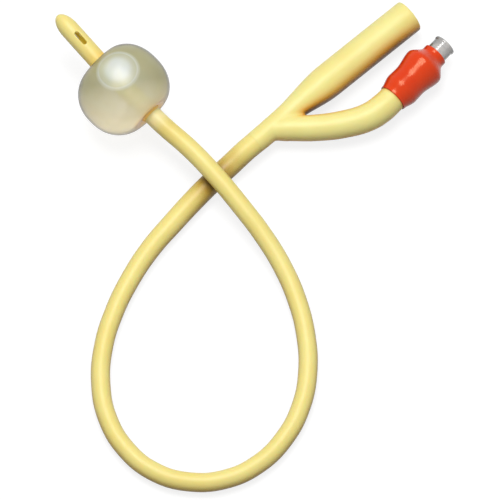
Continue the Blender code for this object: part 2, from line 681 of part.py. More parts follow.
def make_valve_tail(axis):
    """The barbed tail that closes the chamber and holds the arm."""
    bore, tube, barb = TAIL_BORE / 2, TAIL_TUBE_DIAMETER / 2, TAIL_BARB_DIAMETER / 2
    flange, plug = TAIL_FLANGE_DIAMETER / 2, CHAMBER_DIAMETER / 2 - GAP
    start = TAIL_FLANGE_AT - TAIL_TUBE_LENGTH
    front = TAIL_FLANGE_AT + TAIL_FLANGE_THICKNESS
    profile = [
        (bore, start),
        (tube - GAP, start),
        (barb, start + TAIL_BARB_LENGTH),
        (tube, start + TAIL_BARB_LENGTH),
        (tube, TAIL_FLANGE_AT),
        (flange, TAIL_FLANGE_AT),
        (flange, front),
        (plug, front),
        (plug, TAIL_PLUG_END_AT),
        (bore, TAIL_PLUG_END_AT),
    ]
    return on_axis(finish(turned("valve_tail", profile, TURNED_SIDES), WHITE_PLASTIC), axis)


def make_plunger(axis):
    """The plunger that a syringe pushes: spigot, head and a cross-shaped stem that lets water by."""
    head, spigot = PLUNGER_HEAD_DIAMETER / 2, PLUNGER_SPIGOT_DIAMETER / 2
    thickness = PLUNGER_HEAD_THICKNESS
    profile = [
        (0.0, -PLUNGER_SPIGOT_LENGTH),
        (spigot, -PLUNGER_SPIGOT_LENGTH),
        (spigot, 0.0),
        (head, 0.0),
        (head, thickness),
        (0.0, thickness),
    ]
    plunger = turned("valve_plunger", profile, SMALL_TURNED_SIDES, closed=False)
    stem_end = SOCKET_BOTTOM_AT + PLUNGER_STEM_REACH - HEAD_REAR_AT
    width = SEAT_BORE - 2 * GAP
    half_thick = PLUNGER_STEM_THICKNESS / 2
    reach = math.sqrt((width / 2) ** 2 - half_thick**2)
    for name, x, y in (("stem_rib", reach, half_thick), ("cross_rib", half_thick, reach)):
        bm = bmesh.new()
        bmesh.ops.create_cube(bm, size=2.0)
        low, high = thickness / 2, stem_end
        bmesh.ops.scale(bm, vec=(x, y, (high - low) / 2), verts=bm.verts)
        bmesh.ops.translate(bm, vec=(0, 0, (high + low) / 2), verts=bm.verts)
        combine(plunger, on_axis(new_object(name, bm), axis, HEAD_REAR_AT), "UNION")
    return on_axis(finish(plunger, WHITE_PLASTIC), axis, HEAD_REAR_AT)


def make_seal(axis):
    """The rubber ring between the plunger's head and the seat."""
    middle, half = SEAL_DIAMETER / 2, SEAL_WIRE_DIAMETER / 2
    profile = [
        (middle + half * math.cos(a), half * math.sin(a)) for a in steps(0.0, 2 * math.pi, 8)[:-1]
    ]
    return on_axis(finish(turned("valve_seal", profile, SMALL_TURNED_SIDES), BLACK_RUBBER), axis, SEAL_AT)


def make_spring(axis):
    """The compression spring between the tail and the plunger's head."""
    clearance = GAP + SPRING_WIRE_DIAMETER / 2
    low, high = TAIL_PLUG_END_AT + clearance, HEAD_REAR_AT - clearance
    count = SPRING_TURNS * SPRING_POINTS_PER_TURN
    curve = bpy.data.curves.new("valve_spring", "CURVE")
    curve.dimensions = "3D"
    curve.bevel_depth = SPRING_WIRE_DIAMETER / 2
    curve.bevel_resolution = 1
    curve.use_fill_caps = True
    wire = curve.splines.new("POLY")
    wire.points.add(count)
    for i, point in enumerate(wire.points):
        angle = 2 * math.pi * SPRING_TURNS * i / count
        x, y = math.cos(angle) * SPRING_DIAMETER / 2, math.sin(angle) * SPRING_DIAMETER / 2
        point.co = (x, y, low + (high - low) * i / count, 1.0)
    spring = bpy.data.objects.new("valve_spring", curve)
    bpy.context.scene.collection.objects.link(spring)
    return on_axis(finish(spring, STEEL), axis)


def build():
    """Make every piece where it lies."""
    for obj in list(bpy.data.objects):
        bpy.data.objects.remove(obj, do_unlink=True)

    balloon_axis, along = axis_empty("balloon_axis", balloon_centre(), BALLOON_TURN, BALLOON_RISE)
    pole = balloon_outline(0.0, SHAFT_DIAMETER / 2 + GAP + BALLOON_COLLAR_WALL, 2)[-1][1]
    joint = balloon_centre() + along * pole
    tip_axis, _ = axis_empty("tip_axis", joint + along * TIP_JOINT_GAP, TIP_TURN, BALLOON_RISE)
    lip = Vector((VALVE_X, VALVE_Y, VALVE_HEIGHT))
    valve_axis, valve_along = axis_empty("valve_axis", lip, VALVE_TURN)

    make_shaft(joint)
    make_tip(tip_axis)
    make_balloon(balloon_axis)
    make_water(balloon_axis)
    make_connector(lip, valve_along)
    make_sleeve(valve_axis)
    make_valve_body(valve_axis)
    make_valve_tail(valve_axis)
    make_plunger(valve_axis)
    make_seal(valve_axis)
    make_spring(valve_axis)


build()
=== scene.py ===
# %% [markdown]
# # A balloon catheter on a white table
#
# A urinary catheter of this kind is a limp latex tube that a nurse slides into the bladder. Water put in
# through the red valve fills the balloon, which then holds the tube in place, and the wide funnel drains
# into a bag. Each piece gets its own cells below: what it is, how it could be made, and why one way was
# chosen. Everything is in metres and in the frame of the solid model, which is loaded first and stays
# where it is.

# %% Load the frame
import math

import bmesh
import bpy
from mathutils import Matrix, Vector


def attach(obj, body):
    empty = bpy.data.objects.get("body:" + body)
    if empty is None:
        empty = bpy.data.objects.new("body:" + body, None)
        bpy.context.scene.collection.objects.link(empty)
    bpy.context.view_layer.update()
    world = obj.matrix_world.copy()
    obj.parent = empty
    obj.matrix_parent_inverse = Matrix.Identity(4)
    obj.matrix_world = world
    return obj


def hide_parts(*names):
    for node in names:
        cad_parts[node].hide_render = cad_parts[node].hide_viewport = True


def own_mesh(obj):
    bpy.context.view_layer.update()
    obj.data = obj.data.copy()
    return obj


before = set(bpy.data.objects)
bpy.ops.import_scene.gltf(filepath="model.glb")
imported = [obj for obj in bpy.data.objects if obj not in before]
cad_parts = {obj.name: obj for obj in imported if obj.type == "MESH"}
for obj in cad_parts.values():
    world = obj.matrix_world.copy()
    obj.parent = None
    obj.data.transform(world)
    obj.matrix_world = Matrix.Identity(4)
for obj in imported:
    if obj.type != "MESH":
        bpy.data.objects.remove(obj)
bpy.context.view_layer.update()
MM = 0.001
print("solids:", ", ".join(sorted(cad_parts)))

# %% [markdown]
# ## The camera
#
# The photograph was taken with a long lens, from nearly above: 67 degrees over the table. The drainage
# funnel points to its upper right, so the camera stands 41 degrees round from the funnel's own side. A
# helper turns right, away and up, as the camera sees them, into the model's axes, because the lamps are
# easier to place that way.

# %% Camera
CAMERA_ELEVATION = math.radians(67.0)
CAMERA_TURN = math.radians(41.007)
CAMERA_DISTANCE = 7.0
PICTURE_WIDTH = 155.3 * MM  # how much of the table the picture's width takes in
PICTURE_CENTRE = Vector((-56.9 * MM, -16.6 * MM, 0.0))
SENSOR_WIDTH = 36.0  # in millimetres, as a lens is given


def as_seen(right, away, up):
    """A direction or offset given as the camera sees the table, in the model's axes."""
    cos, sin = math.cos(CAMERA_TURN), math.sin(CAMERA_TURN)
    return Vector((right * cos + away * sin, away * cos - right * sin, up))


camera = bpy.data.objects.new("camera", bpy.data.cameras.new("camera"))
bpy.context.scene.collection.objects.link(camera)
towards_camera = as_seen(0.0, -math.cos(CAMERA_ELEVATION), math.sin(CAMERA_ELEVATION))
camera.location = PICTURE_CENTRE + towards_camera * CAMERA_DISTANCE
camera.rotation_mode = "QUATERNION"
camera.rotation_quaternion = (-towards_camera).to_track_quat("-Z", "Y")
camera.data.sensor_width = SENSOR_WIDTH
camera.data.lens = SENSOR_WIDTH * CAMERA_DISTANCE / PICTURE_WIDTH
camera.data.clip_start, camera.data.clip_end = 0.05, 20.0
bpy.context.scene.camera = camera
print(f"lens {camera.data.lens:.0f} mm")

# %% [markdown]
# ## Helpers for shapes
#
# Most of a catheter is round, so two helpers make nearly all of it. A tube that bends is a curve with a
# bevel, whose points carry their own radii. A piece with a straight axis is an outline spun about that
# axis in a bmesh, with its sharp edges bevelled, and then laid along its axis by one matrix, so that the
# finished object itself stays at the origin.

# %% Curved tubes


def add_object(name, data):
    """Link a new object, standing at the origin."""
    obj = bpy.data.objects.new(name, data)
    bpy.context.scene.collection.objects.link(obj)
    return obj


def bent_tube(name, points, radii, sides=16):
    """A curve through the points with a round bevel and a radius at each point."""
    curve = bpy.data.curves.new(name, "CURVE")
    curve.dimensions = "3D"
    curve.bevel_depth = 1.0
    curve.bevel_resolution = sides // 2 - 2  # none gives 4 sides, and each step 2 more
    curve.use_fill_caps = True
    curve.resolution_u = 12
    spline = curve.splines.new("BEZIER")
    spline.bezier_points.add(len(points) - 1)
    for knot, point, radius in zip(spline.bezier_points, points, radii):
        knot.co = point
        knot.radius = radius
        knot.handle_left_type = knot.handle_right_type = "AUTO"
    return add_object(name, curve)


def bake_modifiers(obj):
    """The object as its modifiers or its curve show it, as a plain mesh."""
    shown = obj.evaluated_get(bpy.context.evaluated_depsgraph_get())
    mesh = bpy.data.meshes.new_from_object(shown)
    baked = add_object(obj.name + "_mesh", mesh)
    bpy.data.objects.remove(obj, do_unlink=True)
    return baked


def cut_or_join(obj, other, operation):
    """Cut another mesh out of this one, or join it on, and leave only the result."""
    boolean = obj.modifiers.new("boolean", "BOOLEAN")
    boolean.operation = operation
    boolean.solver = "EXACT"
    boolean.object = other
    result = bake_modifiers(obj)
    bpy.data.objects.remove(other, do_unlink=True)
    return result


# %% Measures along a piece


def ease(share):
    """A smooth step from 0 to 1."""
    share = min(max(share, 0.0), 1.0)
    return share * share * (3.0 - 2.0 * share)


def eased(stations, at):
    """The value at a place, easing from each (place, value) station to the next."""
    if at <= stations[0][0]:
        return stations[0][1]
    for (start, first), (end, second) in zip(stations, stations[1:]):
        if at <= end:
            return first + (second - first) * ease((at - start) / (end - start))
    return stations[-1][1]


def steps(start, end, count):
    """Evenly spaced values, both ends among them."""
    return [start + (end - start) * i / count for i in range(count + 1)]


def reaches(points):
    """How far along a line each of its points is."""
    found = [0.0]
    for a, b in zip(points, points[1:]):
        found.append(found[-1] + (b - a).length)
    return found


def heading(turn, rise=0.0):
    """The direction that is turned from +X towards +Y, and raised from the table."""
    level = math.cos(rise)
    return Vector((level * math.cos(turn), level * math.sin(turn), math.sin(rise)))


# %% Turned pieces


def axis_matrix(place, along):
    """Carries a piece from the Z axis to its own axis, its X pointing up from the table."""
    sideways = along.cross(Vector((0.0, 0.0, 1.0))).normalized()
    turn = Matrix((sideways.cross(along), sideways, along)).transposed().to_4x4()
    return Matrix.Translation(place) @ turn


def mesh_object(name, bm):
    """Turn a finished bmesh into a smooth object."""
    mesh = bpy.data.meshes.new(name)
    bm.to_mesh(mesh)
    bm.free()
    mesh.shade_smooth()
    mesh.set_sharp_from_angle(angle=math.radians(50))
    return add_object(name, mesh)


def turned(name, outline, place, along, sides=96, closed=True, edge=0.0, edge_angle=40.0):
    """Spin (radius, height) points about an axis, and bevel edges that are sharper than an angle."""
    bm = bmesh.new()
    verts = [bm.verts.new((radius, 0.0, height)) for radius, height in outline]
    edges = [bm.edges.new(pair) for pair in zip(verts, verts[1:])]
    if closed:
        edges.append(bm.edges.new((verts[-1], verts[0])))
    bmesh.ops.spin(
        bm,
        geom=verts + edges,
        cent=(0, 0, 0),
        axis=(0, 0, 1),
        angle=2 * math.pi,
        steps=sides,
        use_merge=True,
    )
    bmesh.ops.remove_doubles(bm, verts=bm.verts, dist=0.001 * MM)
    bmesh.ops.recalc_face_normals(bm, faces=bm.faces)
    if edge:
        limit = math.radians(edge_angle)
        sharp = [e for e in bm.edges if len(e.link_faces) == 2 and e.calc_face_angle() > limit]
        bmesh.ops.bevel(
            bm,
            geom=sharp,
            offset=edge,
            segments=3,
            profile=0.5,
            affect="EDGES",
            material=-1,
            clamp_overlap=True,
        )
    bm.transform(axis_matrix(place, along))
    return mesh_object(name, bm)


# %% [markdown]
# ## Helpers for finishes
#
# Real rubber and latex are never one flat colour: dipping leaves faint clouds in the shade, and the
# surface has a fine ripple that breaks up reflections. Where little light gets in, shade is painted into
# the colour, and a thin wall is seen through. Each effect that serves several materials is one node group
# with its own inputs, built once here and placed in each material with its own values. The groups read
# object coordinates, which run on from piece to piece because every object stands at the origin. What
# depends on the eye or on the kind of ray is read in the material itself and handed to the group.

# %% Helpers for node trees
COLOUR, NUMBER, VECTOR = "NodeSocketColor", "NodeSocketFloat", "NodeSocketVector"


def new_group(name, inputs, outputs):
    """A node group with its sockets, and its two end nodes."""
    group = bpy.data.node_groups.new(name, "ShaderNodeTree")
    for socket, kind, value in inputs:
        group.interface.new_socket(socket, in_out="INPUT", socket_type=kind).default_value = value
    for socket, kind in outputs:
        group.interface.new_socket(socket, in_out="OUTPUT", socket_type=kind)
    return group, group.nodes.new("NodeGroupInput").outputs, group.nodes.new("NodeGroupOutput").inputs


def feed(tree, socket, value):
    """Give a socket its own value, or let it follow another node's output."""
    if isinstance(value, bpy.types.NodeSocket):
        tree.links.new(value, socket)
    elif socket.type == "RGBA":
        socket.default_value = (*value, 1.0)
    else:
        socket.default_value = value


def placed(tree, group, **values):
    """A node group placed in a material, with its inputs fed by name."""
    node = tree.nodes.new("ShaderNodeGroup")
    node.name = group.name
    node.node_tree = group
    for socket, value in values.items():
        feed(tree, node.inputs[socket.replace("_", " ")], value)
    return node


def mixed(tree, share, first, second):
    """A colour that goes from the first to the second as a share goes from 0 to 1."""
    mix = tree.nodes.new("ShaderNodeMix")
    mix.data_type = "RGBA"
    for socket, value in (("Factor", share), ("A", first), ("B", second)):
        feed(tree, mix.inputs[socket], value)
    return mix.outputs["Result"]


def spread(tree, value, low, high, to_low=0.0, to_high=1.0):
    """A value carried from one range to another, and kept inside it."""
    node = tree.nodes.new("ShaderNodeMapRange")
    feed(tree, node.inputs["Value"], value)
    feed(tree, node.inputs["From Min"], low)
    feed(tree, node.inputs["From Max"], high)
    feed(tree, node.inputs["To Min"], to_low)
    feed(tree, node.inputs["To Max"], to_high)
    return node.outputs["Result"]


def computed(tree, operation, *values):
    """The result of a sum on values or outputs."""
    node = tree.nodes.new("ShaderNodeMath")
    node.operation = operation
    for socket, value in zip(node.inputs, values):
        feed(tree, socket, value)
    return node.outputs["Value"]


# %% A group for clouded colour and fine ripple
CLOUD_SCALE, RIPPLE_SCALE = 60.0, 900.0  # about how many to a metre
CLOUDS_FROM, CLOUDS_FULL = 0.35, 0.65  # the part of the noise that the clouds use
RIPPLE_FROM, RIPPLE_FULL = 0.3, 0.7


def noise(tree, place, scale, detail):
    """Soft noise in object coordinates."""
    node = tree.nodes.new("ShaderNodeTexNoise")
    node.inputs["Detail"].default_value = detail
    feed(tree, node.inputs["Vector"], place)
    feed(tree, node.inputs["Scale"], scale)
    return node.outputs["Fac"]


def make_clouds():
    """A node group: two shades mixed by soft clouds, with a roughness and a fine height."""
    group, given, result = new_group(
        "clouded",
        (
            ("Shade A", COLOUR, (0.8, 0.8, 0.8, 1.0)),
            ("Shade B", COLOUR, (0.6, 0.6, 0.6, 1.0)),
            ("Cloud Scale", NUMBER, CLOUD_SCALE),
            ("Ripple Scale", NUMBER, RIPPLE_SCALE),
            ("Roughness Low", NUMBER, 0.3),
            ("Roughness High", NUMBER, 0.4),
        ),
        (("Color", COLOUR), ("Roughness", NUMBER), ("Height", NUMBER)),
    )
    place = group.nodes.new("ShaderNodeTexCoord").outputs["Object"]
    clouds = spread(group, noise(group, place, given["Cloud Scale"], 3.0), CLOUDS_FROM, CLOUDS_FULL)
    ripple = noise(group, place, given["Ripple Scale"], 2.0)
    low, high = given["Roughness Low"], given["Roughness High"]
    rough = spread(group, ripple, RIPPLE_FROM, RIPPLE_FULL, low, high)
    feed(group, result["Color"], mixed(group, clouds, given["Shade A"], given["Shade B"]))
    feed(group, result["Roughness"], rough)
    feed(group, result["Height"], ripple)
    return group


CLOUDS = make_clouds()
print("clouded:", len(CLOUDS.nodes), "nodes")

# %% A group for shade painted where a surface sees little of the sky
SHELTER_REACH = 14.0 * MM  # how far off a surface still shades its neighbour
OPEN_FROM = 0.95  # the share of the sky that a surface in the open sees
AMBER_AT, DEEP_AT = 0.62, 0.38  # the shares at which it is amber, and deep


def make_painted_shade():
    """A node group: painted shade, a colour that turns amber and then deep as a point sees less of the
    sky.

    Its second output is 1 where hardly any light gets in.
    """
    group, given, result = new_group(
        "paint_shade",
        (
            ("Open", COLOUR, (0.8, 0.8, 0.8, 1.0)),
            ("Amber", COLOUR, (0.5, 0.3, 0.1, 1.0)),
            ("Deep", COLOUR, (0.1, 0.1, 0.1, 1.0)),
            ("Amber At", NUMBER, AMBER_AT),
            ("Deep At", NUMBER, DEEP_AT),
        ),
        (("Color", COLOUR), ("Enclosed", NUMBER)),
    )
    sky = group.nodes.new("ShaderNodeAmbientOcclusion")
    sky.samples = 12
    sky.inputs["Distance"].default_value = SHELTER_REACH
    seen = sky.outputs["AO"]
    reached = spread(group, seen, given["Deep At"], given["Amber At"])
    shaded = mixed(group, reached, given["Deep"], given["Amber"])
    lit = spread(group, seen, given["Amber At"], OPEN_FROM)
    feed(group, result["Color"], mixed(group, lit, shaded, given["Open"]))
    feed(group, result["Enclosed"], computed(group, "SUBTRACT", 1.0, reached))
    return group


PAINTED_SHADE = make_painted_shade()
print("sheltered:", len(PAINTED_SHADE.nodes), "nodes")

# %% A group for walls that are seen through


def make_film():
    """A node group: how opaque a wall is, by how it is turned, by the ray and by its thickness."""
    group, given, result = new_group(
        "film",
        (
            ("Turned", NUMBER, 0.0),
            ("Shadow Ray", NUMBER, 0.0),
            ("Face On", NUMBER, 0.5),
            ("Edge On", NUMBER, 0.9),
            ("To Light", NUMBER, 0.1),
            ("Thicker", NUMBER, 0.0),
        ),
        (("Alpha", NUMBER),),
    )
    opaque = spread(group, given["Turned"], 0.0, 1.0, given["Face On"], given["Edge On"])
    lit = spread(group, given["Shadow Ray"], 0.0, 1.0, opaque, given["To Light"])
    feed(group, result["Alpha"], computed(group, "MAXIMUM", lit, given["Thicker"]))
    return group


FILM = make_film()
print("film:", len(FILM.nodes), "nodes")

# %% A group for the distance from a point


def make_distance():
    """A node group: how far off a middle each place is, as a share of a reach."""
    group, given, result = new_group(
        "distance",
        (("Middle", VECTOR, (0.0, 0.0, 0.0)), ("Reach", NUMBER, 1.0)),
        (("Share", NUMBER),),
    )
    away = group.nodes.new("ShaderNodeVectorMath")
    away.operation = "DISTANCE"
    feed(group, away.inputs[0], group.nodes.new("ShaderNodeTexCoord").outputs["Object"])
    feed(group, away.inputs[1], given["Middle"])
    feed(group, result["Share"], computed(group, "DIVIDE", away.outputs["Value"], given["Reach"]))
    return group


DISTANCE = make_distance()
print("distance:", len(DISTANCE.nodes), "nodes")

# %% Materials


def new_material(name):
    """A new material, its node tree and its Principled shader."""
    material = bpy.data.materials.new(name)
    material.use_nodes = True
    return material, material.node_tree, material.node_tree.nodes["Principled BSDF"]


def clouded_material(name, shade_a, shade_b, roughness, cloud_scale=CLOUD_SCALE, ripple=0.02, **plain):
    """A material with clouded colour and a ripple so many mm high; plain sockets are set by name."""
    material, tree, shader = new_material(name)
    clouds = placed(
        tree,
        CLOUDS,
        Shade_A=shade_a,
        Shade_B=shade_b,
        Cloud_Scale=cloud_scale,
        Roughness_Low=roughness[0],
        Roughness_High=roughness[1],
    )
    bump = tree.nodes.new("ShaderNodeBump")
    bump.inputs["Strength"].default_value = 1.0
    bump.inputs["Distance"].default_value = ripple * MM
    feed(tree, bump.inputs["Height"], clouds.outputs["Height"])
    feed(tree, shader.inputs["Normal"], bump.outputs["Normal"])
    feed(tree, shader.inputs["Roughness"], clouds.outputs["Roughness"])
    feed(tree, shader.inputs["Base Color"], clouds.outputs["Color"])
    for socket, value in plain.items():
        feed(tree, shader.inputs[socket.replace("_", " ")], value)
    return material


def recolour(material, change):
    """Put a change in front of a material's base colour."""
    tree = material.node_tree
    target = tree.nodes["Principled BSDF"].inputs["Base Color"]
    feed(tree, target, change(target.links[0].from_socket))


def paint_shade(material, amber, deep, amber_at=AMBER_AT):
    """Paint shade into a material: amber where little of the sky reaches its surface, and deep where it
    nearly touches.
    """
    tree = material.node_tree
    clouds = tree.nodes[CLOUDS.name].outputs["Color"]
    group = placed(tree, PAINTED_SHADE, Open=clouds, Amber=amber, Deep=deep, Amber_At=amber_at)
    feed(tree, tree.nodes["Principled BSDF"].inputs["Base Color"], group.outputs["Color"])
    return material


def turned_away(tree):
    """0 where a surface faces the eye and 1 where it is edge on."""
    return tree.nodes.new("ShaderNodeLayerWeight").outputs["Facing"]


def thin_film(material, facing, edge_on, shading, thicker=0.0):
    """Let a material be seen through: its alpha face on, edge on and to the light that passes it.

    Where it is thicker, as a value from 0 to 1 tells, it is more opaque.
    """
    tree = material.node_tree
    ray = tree.nodes.new("ShaderNodeLightPath")
    film = placed(
        tree,
        FILM,
        Turned=turned_away(tree),
        Shadow_Ray=ray.outputs["Is Shadow Ray"],
        Face_On=facing,
        Edge_On=edge_on,
        To_Light=shading,
        Thicker=thicker,
    )
    feed(tree, tree.nodes["Principled BSDF"].inputs["Alpha"], film.outputs["Alpha"])


def ringed(tree, middle, radius, stops):
    """A value that changes with the distance from a point, by (distance in radii, value) stops."""
    farthest = stops[-1][0]
    ramp = tree.nodes.new("ShaderNodeValToRGB")
    ramp.color_ramp.interpolation = "EASE"
    while len(ramp.color_ramp.elements) < len(stops):
        ramp.color_ramp.elements.new(0.5)
    for element, (distance, value) in zip(ramp.color_ramp.elements, stops):
        element.position = distance / farthest
        element.color = (value, value, value, 1.0)
    away = placed(tree, DISTANCE, Middle=middle, Reach=radius * farthest)
    feed(tree, ramp.inputs["Fac"], away.outputs["Share"])
    return ramp.outputs["Color"]


def glowing(material, colour):
    """Let a material give off light of its own."""
    tree = material.node_tree
    shader = tree.nodes["Principled BSDF"]
    feed(tree, shader.inputs["Emission Color"], colour)
    shader.inputs["Emission Strength"].default_value = 1.0


def dress(obj, material):
    """Give a piece its material."""
    obj.data.materials.clear()
    obj.data.materials.append(material)


# %% [markdown]
# ## Latex
#
# Natural latex is a warm cream colour, and light goes a little way in before it comes out again. That is
# subsurface scattering, with a short radius because the wall is only a millimetre or two thick. Where
# little light gets in, as in the fork, under the funnel and right at the table, shade is painted into the
# colour: amber, and brown nearest the table. Ambient occlusion sets this painted shade at each point,
# whatever the view. The connector's painted shade is the warmer one, and the tip's stays bright.

# %% Latex


def latex_material(name, cream, faded, amber, deep, amber_at):
    """Clouded latex, with shade painted amber and then brown where little light gets in."""
    material = clouded_material(
        name,
        cream,
        faded,
        roughness=(0.38, 0.46),
        Subsurface_Weight=0.3,
        Subsurface_Radius=(1.0, 0.6, 0.3),
        Subsurface_Scale=0.8 * MM,
        Specular_IOR_Level=0.5,
    )
    return paint_shade(material, amber, deep, amber_at)


dipped_latex = latex_material(
    "dipped_latex",
    cream=(0.94, 0.80, 0.27),
    faded=(0.91, 0.76, 0.23),
    amber=(0.56, 0.35, 0.04),
    deep=(0.22, 0.13, 0.03),
    amber_at=0.70,
)
tip_latex = latex_material(
    "tip_latex",
    cream=(0.94, 0.81, 0.29),
    faded=(0.91, 0.77, 0.25),
    amber=(0.90, 0.68, 0.17),
    deep=(0.80, 0.62, 0.12),
    amber_at=0.66,
)
moulded_latex = latex_material(
    "moulded_latex",
    cream=(0.94, 0.85, 0.32),
    faded=(0.92, 0.80, 0.27),
    amber=(0.90, 0.46, 0.05),
    deep=(0.20, 0.10, 0.02),
    amber_at=0.60,
)
print("materials so far:", len(bpy.data.materials))

# %% [markdown]
# ## The shaft, a cord
#
# The shaft is limp, so it lies as it was put down: out of the connector's neck, under itself, round one
# loop, over itself in a long low hump and up to the balloon. The same route as the solid model's is
# repeated here, as x, y and lift. A Bezier spline with automatic handles draws it as one smooth curve,
# where straight runs and arcs would look like bent wire, and each point has its own radius, because the
# shaft was dipped thicker near the connector.

# %% Route
SHAFT_DIAMETER = 6.0 * MM
SHAFT_NECK_DIAMETER = 7.0 * MM
SHAFT_TAPER_START, SHAFT_TAPER_END = 15.0 * MM, 80.0 * MM
NECK = Vector((-33.1 * MM, 8.0 * MM, 5.45 * MM))
ROUTE = (
    (-38.0, 7.9, 2.3),
    (-43.5, 7.8, 1.1),
    (-49.0, 7.6, 0.5),
    (-58.0, 6.7, 0.0),
    (-69.5, 5.0, 0.0),
    (-81.0, 2.9, 0.0),
    (-92.3, -0.7, 0.0),
    (-103.2, -5.7, 0.0),
    (-113.3, -12.3, 0.0),
    (-121.9, -20.9, 0.0),
    (-128.1, -31.3, 0.0),
    (-130.6, -43.0, 0.0),
    (-128.9, -54.5, 0.0),
    (-123.0, -64.0, 0.0),
    (-113.9, -70.7, 0.0),
    (-103.0, -73.5, 0.0),
    (-91.3, -72.3, 0.0),
    (-80.3, -67.6, 0.0),
    (-70.9, -60.0, 0.0),
    (-63.4, -50.4, 0.0),
    (-57.9, -39.9, 0.5),
    (-54.3, -28.9, 1.8),
    (-52.4, -17.7, 3.6),
    (-51.7, -6.4, 5.6),
    (-51.4, 5.2, 7.3),
    (-51.7, 17.0, 8.4),
)
BALLOON_DIAMETER, BALLOON_LENGTH = 28.5 * MM, 25.9 * MM
BALLOON_CENTRE = Vector((-54.25 * MM, 45.5 * MM, 14.31 * MM))
BALLOON_RISE = math.radians(7.0)
balloon_along = heading(math.radians(94.0), BALLOON_RISE)
TIP_JOINT_AT = 11.2 * MM  # from the balloon's centre, under its front edge
BEFORE_BALLOON = 15.95 * MM  # from its centre back along its axis

route = [Vector((x * MM, y * MM, SHAFT_DIAMETER / 2 + lift * MM)) for x, y, lift in ROUTE]
for at in (-BEFORE_BALLOON, -BEFORE_BALLOON / 2, 0.0, TIP_JOINT_AT):
    route.append(BALLOON_CENTRE + balloon_along * at)
route.insert(0, NECK)
print(f"route: {reaches(route)[-1]:.3f} m from the neck to the tip's joint")

# %% Shaft
# painted light: the shaft's colour is made paler inside and next to the balloon, for the light the water
# throws on it
PAINTED_WATER_LIGHT = (1.0, 0.92, 0.48)  # the balloon's water lights the shaft inside it and next to it
LIT_STOPS = ((0.0, 1.0), (0.95, 1.0), (1.50, 0.0))  # how much, by the distance in its half lengths
taper = ((SHAFT_TAPER_START, SHAFT_NECK_DIAMETER / 2), (SHAFT_TAPER_END, SHAFT_DIAMETER / 2))
radii = [eased(taper, at) for at in reaches(route)]
for point, radius in zip(route, radii):
    point.z = max(point.z, radius)
shaft = bent_tube("catheter_shaft", route, radii, sides=32)
tree = dipped_latex.node_tree
near_water = ringed(tree, BALLOON_CENTRE, BALLOON_LENGTH / 2, LIT_STOPS)
recolour(dipped_latex, lambda shade: mixed(tree, near_water, shade, PAINTED_WATER_LIGHT))
dress(shaft, dipped_latex)
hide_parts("shaft")
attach(shaft, "root")
print("shaft points:", len(route))

# %% [markdown]
# ## The Y connector
#
# The funnel, the hub and the inflation arm are one moulding, with two bores that never meet. It could be
# modelled as one net of faces round the fork, which takes long, or as two tubes that are joined by a
# Boolean. The second way leaves a hard line at the fork, where real latex runs into a soft fillet, so the
# joined solid is remeshed with fine voxels and then relaxed, most of all at the fork.

# %% Connector sizes
NECK_DIAMETER = 7.2 * MM
NECK_OVERLAP = 1.0 * MM  # how far the neck is drawn over the shaft
NECK_LIFT = 0.02 * MM  # how far its edge stands off the shaft
FUNNEL_DIAMETER = 10.9 * MM
FUNNEL_HEIGHT = FUNNEL_DIAMETER / 2
FUNNEL_Y = 8.9 * MM
FUNNEL_MOUTH_X = 31.1 * MM
SHOULDER_START_X, SHOULDER_END_X = -21.0 * MM, -2.5 * MM
FUNNEL_THROAT_BORE, FUNNEL_MOUTH_BORE = 7.2 * MM, 8.6 * MM
DRAIN_LUMEN_DIAMETER = 3.0 * MM
DRAIN_START, DRAIN_NARROW_END = 0.5 * MM, 8.0 * MM  # from the neck's end
PAST_END = 1.0 * MM  # how far a cutter reaches out of the mouth that it cuts
ARM_ROUTE = ((-27.3, 8.2), (-23.4, 5.5), (-16.4, -0.4), (-8.0, -6.0), (-1.3, -8.9), (3.8, -9.5))
ARM_ROOT_DIAMETER, ARM_DIAMETER, ARM_END_DIAMETER = 6.4 * MM, 8.3 * MM, 9.0 * MM
ARM_SQUEEZED_DIAMETER = 8.7 * MM  # inside the sleeve
ARM_ROOT_LENGTH = 6.4 * MM
ARM_SQUEEZE_START, ARM_SQUEEZE_END = -2.0 * MM, 1.0 * MM  # from the sleeve's lip
ARM_LUMEN_DIAMETER, TAIL_HOLE_DIAMETER, TAIL_HOLE_DEPTH = 2.4 * MM, 4.6 * MM, 4.2 * MM
VALVE_LIP = Vector((8.34 * MM, -9.15 * MM, 6.7 * MM))
valve_along = heading(math.radians(7.0))
ARM_IN_SLEEVE = 5.6 * MM
VOXEL = 0.28 * MM

# %% Funnel
funnel_line = ((NECK.x, NECK.y), ((SHOULDER_START_X + SHOULDER_END_X) / 2, FUNNEL_Y))
neck_start = NECK.x - NECK_OVERLAP


def along_funnel(name, stations, radii, sides):
    """A tube on the funnel's axis through the stations, with radii eased along it."""
    points = [Vector((x, eased(funnel_line, x), FUNNEL_HEIGHT)) for x in stations]
    return bake_modifiers(bent_tube(name, points, [eased(radii, x) for x in stations], sides))


funnel = along_funnel(
    "funnel",
    steps(neck_start, SHOULDER_END_X, 26) + [FUNNEL_MOUTH_X / 2, FUNNEL_MOUTH_X],
    (
        (neck_start, SHAFT_NECK_DIAMETER / 2 + NECK_LIFT),
        (NECK.x + 2 * NECK_OVERLAP, NECK_DIAMETER / 2),
        (SHOULDER_START_X, NECK_DIAMETER / 2),
        (SHOULDER_END_X, FUNNEL_DIAMETER / 2),
    ),
    sides=64,
)
print("funnel:", len(funnel.data.polygons), "faces")

